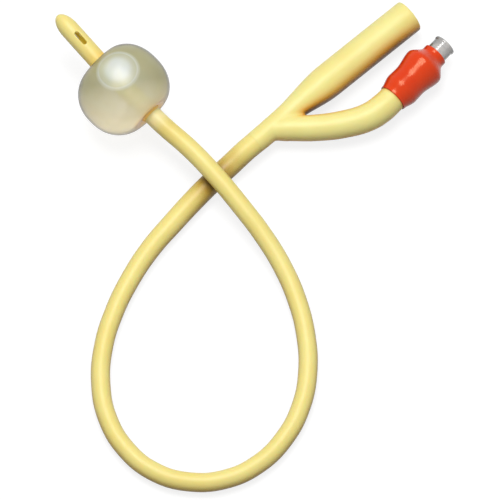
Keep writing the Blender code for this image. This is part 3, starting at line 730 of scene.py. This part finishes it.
# %% Arm
arm_points = [Vector((x * MM, y * MM, 0.0)) for x, y in ARM_ROUTE] + [VALVE_LIP.copy()]
for i, point in enumerate(arm_points):
    point.z = FUNNEL_HEIGHT + (VALVE_LIP.z - FUNNEL_HEIGHT) * ease(i / (len(arm_points) - 1))
lip_at = reaches(arm_points)[-1]
arm_points += [VALVE_LIP + valve_along * at for at in steps(0.0, ARM_IN_SLEEVE, 3)[1:]]
grown = (
    (0.0, ARM_ROOT_DIAMETER / 2),
    (ARM_ROOT_LENGTH, ARM_DIAMETER / 2),
    (lip_at + ARM_SQUEEZE_START, ARM_END_DIAMETER / 2),
    (lip_at + ARM_SQUEEZE_END, ARM_SQUEEZED_DIAMETER / 2),
)
arm_radii = [eased(grown, at) for at in reaches(arm_points)]
arm = bake_modifiers(bent_tube("arm", arm_points, arm_radii, sides=48))
print(f"arm: {lip_at / MM:.1f} mm to the sleeve's lip")
connector = cut_or_join(funnel, arm, "UNION")

# %% Bores
narrow_end = NECK.x + DRAIN_NARROW_END
drain_x = [NECK.x + DRAIN_START, narrow_end] + steps(SHOULDER_START_X, SHOULDER_END_X, 6)
drain_x.append(FUNNEL_MOUTH_X + PAST_END)
bore_radii = (
    (narrow_end, DRAIN_LUMEN_DIAMETER / 2),
    (SHOULDER_END_X, FUNNEL_THROAT_BORE / 2),
    (FUNNEL_MOUTH_X, FUNNEL_MOUTH_BORE / 2),
)
drain = along_funnel("drain_bore", drain_x, bore_radii, sides=48)
connector = cut_or_join(connector, drain, "DIFFERENCE")
lumen_points = arm_points[2:6]
tail_hole = [VALVE_LIP + valve_along * (ARM_IN_SLEEVE + at) for at in (-TAIL_HOLE_DEPTH, PAST_END)]
lumen_radii = [ARM_LUMEN_DIAMETER / 2] * len(lumen_points) + [TAIL_HOLE_DIAMETER / 2] * len(tail_hole)
lumen = bent_tube("arm_lumen", lumen_points + tail_hole, lumen_radii, sides=24)
connector = cut_or_join(connector, bake_modifiers(lumen), "DIFFERENCE")
print("connector before remeshing:", len(connector.data.polygons), "faces")

# %% Soften the fork
FORK = Vector((-17.5 * MM, 4.6 * MM, FUNNEL_HEIGHT))
FORK_REACH = 6.0 * MM
SKIN_PASSES, FORK_PASSES = 8, 60  # how often the mesh is relaxed


def even_skin(obj, voxel):
    """Rebuild a mesh as an even net of small faces."""
    remesh = obj.modifiers.new("even_skin", "REMESH")
    remesh.mode = "VOXEL"
    remesh.voxel_size = voxel
    return bake_modifiers(obj)


def relax(obj, repeat, group=""):
    """Smooth a mesh, or only a vertex group of it."""
    smooth = obj.modifiers.new("relax", "SMOOTH")
    smooth.factor = 0.5
    smooth.iterations = repeat
    smooth.vertex_group = group


def finished_skin(obj, name):
    """The relaxed mesh, named and shaded smooth."""
    skin = bake_modifiers(obj)
    skin.name = name
    skin.data.shade_smooth()
    return skin


connector = even_skin(connector, VOXEL)
near_fork = connector.vertex_groups.new(name="near_fork")
for vert in connector.data.vertices:
    weight = 1.0 - ease(((vert.co - FORK).length - FORK_REACH) / FORK_REACH)
    if weight > 0.0:
        near_fork.add([vert.index], weight, "REPLACE")
relax(connector, SKIN_PASSES)
relax(connector, FORK_PASSES, "near_fork")
connector = finished_skin(connector, "connector_skin")
dress(connector, moulded_latex)
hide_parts("y_connector")
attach(connector, "root")
print("connector:", len(connector.data.polygons), "faces")

# %% [markdown]
# ## The tip
#
# The far end is closed and rounded so that it slides in gently, and two eyes let the urine in. It is spun
# with its blind bore, the eyes are cut through its wall, and the same remesh and relaxing as on the
# connector rounds their rims, as dipping does. Daylight comes through the thin wall into the bore, so a
# faint yellow emission stands for it in there, and the eye shows as a warm slot.

# %% Tip
TIP_LENGTH, TIP_NOSE_LENGTH, TIP_BORE_LENGTH = 20.2 * MM, 6.0 * MM, 15.6 * MM
EYE_LENGTH, EYE_WIDTH = 5.0 * MM, 1.5 * MM
EYES = ((9.4 * MM, 1.0), (12.6 * MM, -1.0))  # how far along the tip, and which side
TIP_VOXEL, TIP_PASSES = 0.14 * MM, 6
TIP_JOINT_GAP = 0.1 * MM
BLACK = (0.0, 0.0, 0.0)
THROUGH_WALL = (0.065, 0.062, 0.006)  # the light that the wall lets into the bore
tip_along = heading(math.radians(90.5), BALLOON_RISE)
tip_joint = BALLOON_CENTRE + balloon_along * (TIP_JOINT_AT + TIP_JOINT_GAP)


def eye_cutter(at, side):
    """A slot with round ends, reaching from the bore out through one side of the tip."""
    bm = bmesh.new()
    bmesh.ops.create_circle(bm, cap_ends=True, segments=24, radius=EYE_WIDTH / 2)
    turn = Matrix.Rotation(math.pi / 2, 3, "Y")
    bmesh.ops.rotate(bm, cent=(0, 0, 0), matrix=turn, verts=bm.verts)
    for vert in bm.verts:
        vert.co.z += math.copysign((EYE_LENGTH - EYE_WIDTH) / 2, vert.co.z) + at
    top = bmesh.ops.extrude_face_region(bm, geom=bm.faces[:])["geom"]
    raised = [v for v in top if isinstance(v, bmesh.types.BMVert)]
    bmesh.ops.translate(bm, vec=(side * SHAFT_DIAMETER, 0.0, 0.0), verts=raised)
    bmesh.ops.recalc_face_normals(bm, faces=bm.faces)
    bm.transform(axis_matrix(tip_joint, tip_along))
    return mesh_object("eye", bm)


def round_end(radius, length, end, count):
    """(radius, height) points of a half ellipse that closes a turned outline at its end."""
    return [
        (radius * math.cos(a), end - length * (1.0 - math.sin(a)))
        for a in steps(0.0, math.pi / 2, count)
    ]


bore = DRAIN_LUMEN_DIAMETER / 2
dome = round_end(bore, bore, TIP_BORE_LENGTH, 6)[::-1]
nose = round_end(SHAFT_DIAMETER / 2, TIP_NOSE_LENGTH, TIP_LENGTH, 16)
tip_outline = dome + [(bore, 0.0), (SHAFT_DIAMETER / 2, 0.0)] + nose
tip = turned("tip_solid", tip_outline, tip_joint, tip_along, sides=64, closed=False)
for at, side in EYES:
    tip = cut_or_join(tip, eye_cutter(at, side), "DIFFERENCE")
tip = even_skin(tip, TIP_VOXEL)
relax(tip, TIP_PASSES)
tip = finished_skin(tip, "tip_skin")
tree = tip_latex.node_tree
enclosed = tree.nodes[PAINTED_SHADE.name].outputs["Enclosed"]
glowing(tip_latex, mixed(tree, enclosed, BLACK, THROUGH_WALL))
dress(tip, tip_latex)
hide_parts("tip")
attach(tip, "root")
print("tip:", len(tip.data.polygons), "faces")

# %% [markdown]
# ## The balloon
#
# The balloon is the same latex stretched thin, so it is milky and light passes it. It is a real shell,
# spun with its collars from a superellipse, whose shoulders are fuller than an ellipse's, and it leans a
# little to one side, as a balloon does that is filled through one hole.

# %% Membrane
BALLOON_SQUARENESS = 2.3
BALLOON_LEAN = 0.9 * MM
BALLOON_WALL = 0.5 * MM
COLLAR_WALL, COLLAR_LENGTH, COLLAR_EDGE = 0.4 * MM, 0.8 * MM, 0.1 * MM
POLE_DRAW, POLE_WIDTH = 0.2, 5.0 * MM
BONDED_RADIUS = SHAFT_DIAMETER / 2 + 0.03 * MM


def balloon_outline(inset, start_radius, count):
    """(radius, height) points from one pole of the balloon to the other, inset from its outside."""
    radius, half_length = BALLOON_DIAMETER / 2 - inset, BALLOON_LENGTH / 2 - inset
    power = 2 / BALLOON_SQUARENESS
    start = math.asin((start_radius / radius) ** (1 / power))
    points = []
    for angle in steps(start, math.pi - start, count):
        r = radius * math.sin(angle) ** power
        z = -half_length * math.copysign(abs(math.cos(angle)) ** power, math.cos(angle))
        drawn = 1.0 - POLE_DRAW * math.exp(-((r / POLE_WIDTH) ** 2))
        points.append((r, z * drawn))
    return points


def off_axis(place):
    """How far a point is from the balloon's axis."""
    offset = place - BALLOON_CENTRE
    return (offset - balloon_along * offset.dot(balloon_along)).length


def lean_out(obj):
    """Let a piece turned about the balloon's axis bulge further to one side, and not at the shaft."""
    sideways = balloon_along.cross(Vector((0.0, 0.0, 1.0))).normalized()
    for vert in obj.data.vertices:
        share = (off_axis(vert.co) - BONDED_RADIUS) / (BALLOON_DIAMETER / 2 - BONDED_RADIUS)
        vert.co -= sideways * BALLOON_LEAN * max(share, 0.0)
    return obj


outside = balloon_outline(0.0, BONDED_RADIUS + COLLAR_WALL, 72)
inside = balloon_outline(BALLOON_WALL, BONDED_RADIUS, 56)
rear_end, front_end = outside[0][1] - COLLAR_LENGTH, outside[-1][1] + COLLAR_LENGTH
collar = BONDED_RADIUS + COLLAR_EDGE
outside = [(BONDED_RADIUS, rear_end), (collar, rear_end)] + outside
outside += [(collar, front_end), (BONDED_RADIUS, front_end)]
membrane_shell = lean_out(turned("membrane", outside + inside[::-1], BALLOON_CENTRE, balloon_along))
print("membrane outline:", len(outside), "points outside and", len(inside), "inside")

# %% Bubble's place
HAIR = 0.05 * MM  # a clearance that doesn't show
WATER_INSET = BALLOON_WALL + HAIR
BUBBLE_DIAMETER, BUBBLE_DEPTH = 12.8 * MM, 2.4 * MM
BUBBLE_AHEAD, BUBBLE_ASIDE = 1.8 * MM, 1.3 * MM
level_ahead = Vector((balloon_along.x, balloon_along.y, 0.0)).normalized()
level_aside = Vector((-level_ahead.y, level_ahead.x, 0.0))
surface = math.sqrt((BALLOON_DIAMETER / 2 - WATER_INSET) ** 2 - (BUBBLE_DIAMETER / 2) ** 2)
bubble_at = BALLOON_CENTRE + Vector((0.0, 0.0, surface))
bubble_at += level_ahead * BUBBLE_AHEAD + level_aside * BUBBLE_ASIDE
print(f"bubble: {bubble_at.z / MM:.1f} mm over the table")

# %% [markdown]
# ## The membrane's finish
#
# Round the shaft the latex is gathered, thicker and amber, and out at the waist it is stretched to a
# milky film. The lower half is painted lighter and warmer, and made more opaque: painted light, for the
# table's light that comes up into it. A value from 0 to 1 for each is kept at every vertex, and the
# material mixes its colours and its alpha with them. Three more things are painted on it. Over the bubble
# the film is painted pale, most of all in its middle, with a pale ring where the water's edge meets it: a
# painted highlight and a painted reflection. Edge on its colour is painted near black: painted shade at
# its outline. And the lower half glows a little: the water gathers the light like a lens and throws it on
# that side, which the renderer can't find in time, so a faint emission stands for it, amber at the collar.

# %% Stretched latex
GATHERED_WIDTH = 2.8 * MM
LOW_SIDE_FROM, LOW_SIDE_WIDTH = -0.15, 0.95  # in the balloon's radii, towards its lower side
CLOUDED_BELOW = 0.52  # how opaque the lower half is
STRETCHED = ((0.53, 0.51, 0.27), (0.48, 0.46, 0.24))  # the two shades of the upper half


def store_share(obj, name, share_at):
    """Keep a value from 0 to 1 at each vertex, for a material to read."""
    layer = obj.data.attributes.new(name, "FLOAT", "POINT")
    for vert, item in zip(obj.data.vertices, layer.data):
        item.value = share_at(vert.co)


def gathered(place):
    """1 where the membrane is bonded to the shaft, falling away from it."""
    spare = max(off_axis(place) - BONDED_RADIUS - COLLAR_WALL, 0.0)
    return math.exp(-((spare / GATHERED_WIDTH) ** 2))


# the side of the balloon that is painted lighter, as the camera sees it
painted_light_side = as_seen(0.1, -0.92, -0.39).normalized()


def painted_light_share(place):
    """0 on the balloon's upper, far side and 1 on its lower, near side, where light is painted in."""
    share = (place - BALLOON_CENTRE).dot(painted_light_side) / (BALLOON_DIAMETER / 2)
    return min(max((share - LOW_SIDE_FROM) / LOW_SIDE_WIDTH, 0.0), 1.0)


def stored(tree, name):
    """The value that is kept at each vertex under a name."""
    attribute = tree.nodes.new("ShaderNodeAttribute")
    attribute.attribute_name = name
    return attribute.outputs["Fac"]


store_share(membrane_shell, "gathered", gathered)
# painted light: kept at each vertex, 1 where the balloon is painted lighter
store_share(membrane_shell, "painted_light_side", painted_light_share)
membrane = clouded_material(
    "stretched_latex",
    *STRETCHED,
    roughness=(0.30, 0.36),
    cloud_scale=45.0,
    ripple=0.001,
    Subsurface_Weight=1.0,
    Subsurface_Radius=(1.0, 0.9, 0.6),
    Subsurface_Scale=1.5 * MM,
    Specular_IOR_Level=0.9,
)
tree = membrane.node_tree
below, bonded = stored(tree, "painted_light_side"), stored(tree, "gathered")
cloudy = computed(tree, "MULTIPLY_ADD", below, CLOUDED_BELOW, bonded)
thin_film(membrane, facing=0.36, edge_on=0.85, shading=0.12, thicker=cloudy)

# %% What shows on it
# How much painted highlight and reflection lies over the bubble, by the distance from its middle in its
# radii
BUBBLE_RING = ((0.0, 1.0), (0.5, 0.9), (0.84, 0.35), (0.9, 0.3), (0.96, 0.6), (1.03, 0.35), (1.12, 0.0))
RIM_FROM, RIM_FULL = 0.65, 0.91  # how far it is turned away from the eye
# a painted highlight over the bubble, and painted shade at the outline
PAINTED_BUBBLE_WHITE, RIM_SHADE = (0.82, 0.87, 0.86), (0.02, 0.02, 0.015)
# painted light: the lighter, warmer shades of the lower half
PAINTED_LIGHT_BELOW = ((0.96, 0.88, 0.64), (0.92, 0.83, 0.58))  # two shades each, as STRETCHED has
GATHERED = ((0.95, 0.60, 0.08), (0.90, 0.54, 0.06))
GLOW_BELOW, GLOW_GATHERED = (0.31, 0.28, 0.21), (0.15, 0.08, 0.0)
painted_bubble_light = ringed(tree, bubble_at, BUBBLE_DIAMETER / 2, BUBBLE_RING)
# painted shade: the colour goes to near black where the film turns edge on
rim = spread(tree, turned_away(tree), RIM_FROM, RIM_FULL)
for shade, upper, lower, amber in zip(("Shade A", "Shade B"), STRETCHED, PAINTED_LIGHT_BELOW, GATHERED):
    stretched = mixed(tree, below, upper, lower)
    whitened = mixed(tree, painted_bubble_light, stretched, PAINTED_BUBBLE_WHITE)
    rimmed = mixed(tree, rim, whitened, RIM_SHADE)
    feed(tree, tree.nodes[CLOUDS.name].inputs[shade], mixed(tree, bonded, rimmed, amber))
# painted light: a faint emission on the lower half, amber at the collar, and none edge on
glow = mixed(tree, below, BLACK, mixed(tree, bonded, GLOW_BELOW, GLOW_GATHERED))
glowing(membrane, mixed(tree, rim, glow, BLACK))
dress(membrane_shell, membrane)
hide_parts("balloon")
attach(membrane_shell, "root")
print("membrane:", len(membrane_shell.data.polygons), "faces")

# %% [markdown]
# ## The water and its bubble
#
# Sterile water fills the balloon, apart from a bubble of air that rose to the top. The water is a body of
# its own, with the bubble cut out of it. Its own skin hardly shows. The bubble's wall faces get a second
# material, whose pale cream and blue-grey shades are a painted reflection of the light the wall mirrors.

# %% Water
profile = balloon_outline(WATER_INSET, BONDED_RADIUS + HAIR, 56)
water = lean_out(turned("water_solid", profile, BALLOON_CENTRE, balloon_along))
bubble_size = Vector((BUBBLE_DIAMETER / 2, BUBBLE_DIAMETER / 2, BUBBLE_DEPTH))
bm = bmesh.new()
bmesh.ops.create_uvsphere(bm, u_segments=64, v_segments=32, radius=1.0)
bmesh.ops.scale(bm, vec=bubble_size, verts=bm.verts)
bmesh.ops.translate(bm, vec=bubble_at, verts=bm.verts)
water = cut_or_join(water, mesh_object("bubble", bm), "DIFFERENCE")
water.name = "balloon_fluid"
water.data.shade_smooth()
water.data.set_sharp_from_angle(angle=math.radians(40))

# %% Water's finish
ON_BUBBLE = 1.01  # a face this near the bubble's middle, in its radii, is its wall
sterile_water = clouded_material(
    "sterile_water",
    shade_a=(0.50, 0.50, 0.38),
    shade_b=(0.46, 0.46, 0.34),
    roughness=(0.05, 0.08),
    ripple=0.0,
    Specular_IOR_Level=0.2,
)
thin_film(sterile_water, facing=0.10, edge_on=0.24, shading=0.03)
# painted reflection: the bubble wall's pale cream and blue-grey shades
bubble_wall = clouded_material(
    "bubble_wall",
    shade_a=(0.98, 0.93, 0.76),
    shade_b=(0.66, 0.74, 0.73),
    roughness=(0.10, 0.16),
    cloud_scale=210.0,
    ripple=0.0,
    Specular_IOR_Level=0.8,
)
thin_film(bubble_wall, facing=0.45, edge_on=0.9, shading=0.10)
dress(water, sterile_water)
water.data.materials.append(bubble_wall)
for face in water.data.polygons:
    offset = face.center - bubble_at
    inner = Vector([far / half for far, half in zip(offset, bubble_size)])
    face.material_index = 1 if inner.length < ON_BUBBLE else 0
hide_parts("balloon_water")
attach(water, "root")
print("bubble faces:", sum(face.material_index for face in water.data.polygons))

# %% [markdown]
# ## The red sleeve
#
# The sleeve is moulded rubber, stretched over the end of the arm and the valve's housing. Its outside and
# its bore are two eased outlines through a few measured stations, spun as one closed wall.

# %% Sleeve
SLEEVE_LENGTH = 20.1 * MM
# In mm from the lip, with the outer diameter there, and below that with the wall
SLEEVE_STATIONS = ((0.0, 9.6), (4.4, 11.6), (7.8, 11.4), (14.4, 13.4), (18.7, 8.1), (20.1, 8.1))
SLEEVE_WALLS = ((0.0, 0.4), (4.4, 0.7), (14.4, 0.7), (18.7, 0.5), (20.1, 0.5))


def sleeve_radius(at, inside=False):
    """The sleeve's outer or inner radius at a distance from its lip."""
    outer = eased(SLEEVE_STATIONS, at / MM) / 2
    return (outer - eased(SLEEVE_WALLS, at / MM) if inside else outer) * MM


sleeve_outline = [(sleeve_radius(at), at) for at in steps(0.0, SLEEVE_LENGTH, 64)]
sleeve_outline += [(sleeve_radius(at, inside=True), at) for at in steps(SLEEVE_LENGTH, 0.0, 48)]
sleeve = turned("sleeve_skin", sleeve_outline, VALVE_LIP, valve_along, edge=0.15 * MM, edge_angle=60.0)
red_rubber = clouded_material(
    "red_rubber",
    shade_a=(0.82, 0.046, 0.001),
    shade_b=(0.76, 0.036, 0.001),
    roughness=(0.17, 0.21),
    ripple=0.002,
    cloud_scale=120.0,
    IOR=1.3,
    Specular_IOR_Level=1.0,
    Specular_Tint=(1.0, 0.85, 0.55),
)
# painted shade: the red turns darker where the sleeve sees little of the sky, as at the table
paint_shade(red_rubber, amber=(0.50, 0.012, 0.002), deep=(0.10, 0.004, 0.001))
dress(sleeve, red_rubber)
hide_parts("valve_sleeve")
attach(sleeve, "root")
widest = max(radius for radius, _ in sleeve_outline) * 2
print(f"sleeve: {widest / MM:.1f} mm at its widest, {len(sleeve.data.polygons)} faces")

# %% [markdown]
# ## The clear housing
#
# What stands out of the sleeve is the mouth of a clear moulding: a socket with the taper that a syringe
# needs, a thin rim round it, and behind it the seat that the plunger's ring closes. The wall is thick and
# a little grey, so it is seen through only in part, and most of all where it faces the eye. Towards its
# edges its colour is painted nearly black, a painted shade for the dark edges of thick clear plastic, and
# a clear coat carries the lamp's white stripe.

# %% Housing
NOSE_DIAMETER, NOSE_END = 6.9 * MM, 24.5 * MM
NOSE_START, SHOULDER_END_AT = 18.9 * MM, 18.5 * MM
RIM_DIAMETER, RIM_WIDTH, RIM_SLOPE = 7.4 * MM, 0.9 * MM, 0.3 * MM
SOCKET_MOUTH, SOCKET_DEPTH, SOCKET_TAPER = 4.3 * MM, 7.9 * MM, 0.06
SEAT_BORE, SEAT_THICKNESS, CHAMBER = 2.7 * MM, 2.0 * MM, 5.2 * MM
BODY_START = 6.9 * MM
DARK_FROM, DARK_FULL = 0.12, 0.60  # how far it is turned away from the eye
EDGE_SHADE = (0.02, 0.02, 0.02)
socket_bottom = NOSE_END - SOCKET_DEPTH
seat = socket_bottom - SEAT_THICKNESS
rim_start = NOSE_END - RIM_WIDTH
hugging = steps(BODY_START, SHOULDER_END_AT, 24)
housing_outline = [(sleeve_radius(at, inside=True) - HAIR, at) for at in hugging]
housing_outline += [(NOSE_DIAMETER / 2, at) for at in steps(NOSE_START, rim_start, 12)]
housing_outline += [
    (RIM_DIAMETER / 2, rim_start + RIM_SLOPE),
    (RIM_DIAMETER / 2, NOSE_END),
    (SOCKET_MOUTH / 2, NOSE_END),
    ((SOCKET_MOUTH - SOCKET_DEPTH * SOCKET_TAPER) / 2, socket_bottom),
    (SEAT_BORE / 2, socket_bottom),
    (SEAT_BORE / 2, seat),
    (CHAMBER / 2, seat),
    (CHAMBER / 2, BODY_START),
]
housing = turned("housing_clear", housing_outline, VALVE_LIP, valve_along, edge=0.1 * MM, edge_angle=30.0)
clear_plastic = clouded_material(
    "clear_plastic",
    shade_a=(0.70, 0.67, 0.63),
    shade_b=(0.44, 0.43, 0.42),
    roughness=(0.14, 0.18),
    ripple=0.0,
    cloud_scale=300.0,
    Specular_IOR_Level=1.0,
    Coat_Weight=1.0,
    Coat_Roughness=0.12,
)
tree = clear_plastic.node_tree
# painted shade: the colour goes to near black where the housing turns edge on
dark = spread(tree, turned_away(tree), DARK_FROM, DARK_FULL)
recolour(clear_plastic, lambda shade: mixed(tree, dark, shade, EDGE_SHADE))
thin_film(clear_plastic, facing=0.75, edge_on=0.98, shading=0.3)
dress(housing, clear_plastic)
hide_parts("valve_body")
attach(housing, "root")
print("housing:", len(housing.data.polygons), "faces")

# %% [markdown]
# ## Inside the valve
#
# The tail, the plunger and its ring show only through the socket's mouth. Their solids are already the
# right shape, so they stay and get finishes of their own. The spring is made again as a round wire, a
# small circle spun with a rise at each step, because a solid's mesh can't be changed, and a spring has to
# grow shorter when the plunger is pushed in.

# %% Inner pieces
white_plastic = clouded_material(
    "white_plastic", (0.80, 0.80, 0.78), (0.74, 0.74, 0.72), roughness=(0.3, 0.4), ripple=0.004
)
black_rubber = clouded_material(
    "black_rubber", (0.03, 0.03, 0.03), (0.02, 0.02, 0.02), roughness=(0.45, 0.6), ripple=0.01
)
spring_steel = clouded_material(
    "spring_steel", (0.62, 0.62, 0.63), (0.50, 0.50, 0.52), roughness=(0.2, 0.35), Metallic=1.0
)
for node, material in (
    ("valve_tail", white_plastic),
    ("valve_plunger", white_plastic),
    ("valve_seal", black_rubber),
):
    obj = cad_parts[node]
    obj.data.materials.clear()
    obj.data.materials.append(material)
    print(node, "keeps its solid, in", material.name)

# %% Spring
SPRING_DIAMETER, SPRING_WIRE_DIAMETER = 2.9 * MM, 0.36 * MM
SPRING_TURNS, STEPS_PER_TURN = 4, 24
along_spring = [
    (vert.co - VALVE_LIP).dot(valve_along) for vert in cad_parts["valve_spring"].data.vertices
]
wire_start = min(along_spring) + SPRING_WIRE_DIAMETER / 2
wire_end = max(along_spring) - SPRING_WIRE_DIAMETER / 2
count = SPRING_TURNS * STEPS_PER_TURN
bm = bmesh.new()
upright = Matrix.Rotation(math.pi / 2, 4, "X")
first_ring = Matrix.Translation((SPRING_DIAMETER / 2, 0.0, wire_start)) @ upright
bmesh.ops.create_circle(bm, segments=12, radius=SPRING_WIRE_DIAMETER / 2, matrix=first_ring)
bmesh.ops.spin(
    bm,
    geom=bm.verts[:] + bm.edges[:],
    cent=(0, 0, 0),
    axis=(0, 0, 1),
    dvec=(0, 0, (wire_end - wire_start) / count),
    angle=2 * math.pi * SPRING_TURNS,
    steps=count,
)
bmesh.ops.holes_fill(bm, edges=bm.edges[:], sides=0)
bmesh.ops.recalc_face_normals(bm, faces=bm.faces)
bm.transform(axis_matrix(VALVE_LIP, valve_along))
spring = mesh_object("spring_wire", bm)
dress(spring, spring_steel)
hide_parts("valve_spring")
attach(spring, "root")
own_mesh(spring)

# %% [markdown]

# %% [markdown]
# ## The table and the light
#
# The photograph has a plain white ground, with a narrow soft shadow at the lower right of each tube. The
# floor takes the shadow, and light of its own, which only the camera and reflections see, brings it up to
# white. To the light that falls on things it is darker, so the undersides stay as dark as they are in the
# photograph. One large round lamp stands over the far side, and the world fills in round
# it. They stay at a level where a colour renders about as it was written.

# %% Floor
FLOOR_GLOW = 0.81  # its own light
FLOOR_SHADE, FLOOR_BOUNCE = 0.26, 0.08  # how light it is when seen, and to what it lights
WHITE = (1.0, 1.0, 1.0)


def seen_or_mirrored(tree):
    """1 for rays from the camera, a reflection or glass, and 0 for the light that falls on things."""
    ray = tree.nodes.new("ShaderNodeLightPath").outputs
    mirrored = computed(tree, "MAXIMUM", ray["Is Glossy Ray"], ray["Is Transmission Ray"])
    return computed(tree, "MAXIMUM", ray["Is Camera Ray"], mirrored)


bm = bmesh.new()
bmesh.ops.create_grid(bm, x_segments=1, y_segments=1, size=3.0)
floor = mesh_object("floor", bm)
floor_look, tree, shader = new_material("white_table")
shader.inputs["Roughness"].default_value = 0.9
shader.inputs["Specular IOR Level"].default_value = 0.0
feed(tree, shader.inputs["Emission Color"], WHITE)
seen = seen_or_mirrored(tree)
feed(tree, shader.inputs["Base Color"], mixed(tree, seen, (FLOOR_BOUNCE,) * 3, (FLOOR_SHADE,) * 3))
feed(tree, shader.inputs["Emission Strength"], computed(tree, "MULTIPLY", seen, FLOOR_GLOW))
floor.data.materials.append(floor_look)
print("floor:", tuple(round(side, 1) for side in floor.dimensions), "m")

# %% World
WORLD_LEVEL = 0.42
world = bpy.data.worlds.new("studio")
bpy.context.scene.world = world
world.use_nodes = True
tree = world.node_tree
background = tree.nodes["Background"]
strength = spread(tree, seen_or_mirrored(tree), 0.0, 1.0, WORLD_LEVEL, 1.0)
feed(tree, background.inputs["Strength"], strength)
feed(tree, background.inputs["Color"], WHITE)
print("world: white to the camera,", WORLD_LEVEL, "of it to what it lights")

# %% Lamp


def soft_lamp(name, right, away, up, size, power):
    """A round soft lamp, placed as the camera sees it and turned to the picture's centre."""
    lamp = bpy.data.lights.new(name, "AREA")
    lamp.shape = "DISK"
    lamp.size = size
    lamp.energy = power
    obj = add_object(name, lamp)
    offset = as_seen(right, away, up)
    obj.location = PICTURE_CENTRE + offset
    obj.rotation_mode = "QUATERNION"
    obj.rotation_quaternion = (-offset).to_track_quat("-Z", "Y")
    return obj


key = soft_lamp("key", right=-0.08, away=0.28, up=1.2, size=0.72, power=9.8)
print(f"key lamp: {key.location.length:.2f} m from the origin, {key.data.energy} W")
bpy.context.scene.view_settings.view_transform = "Standard"
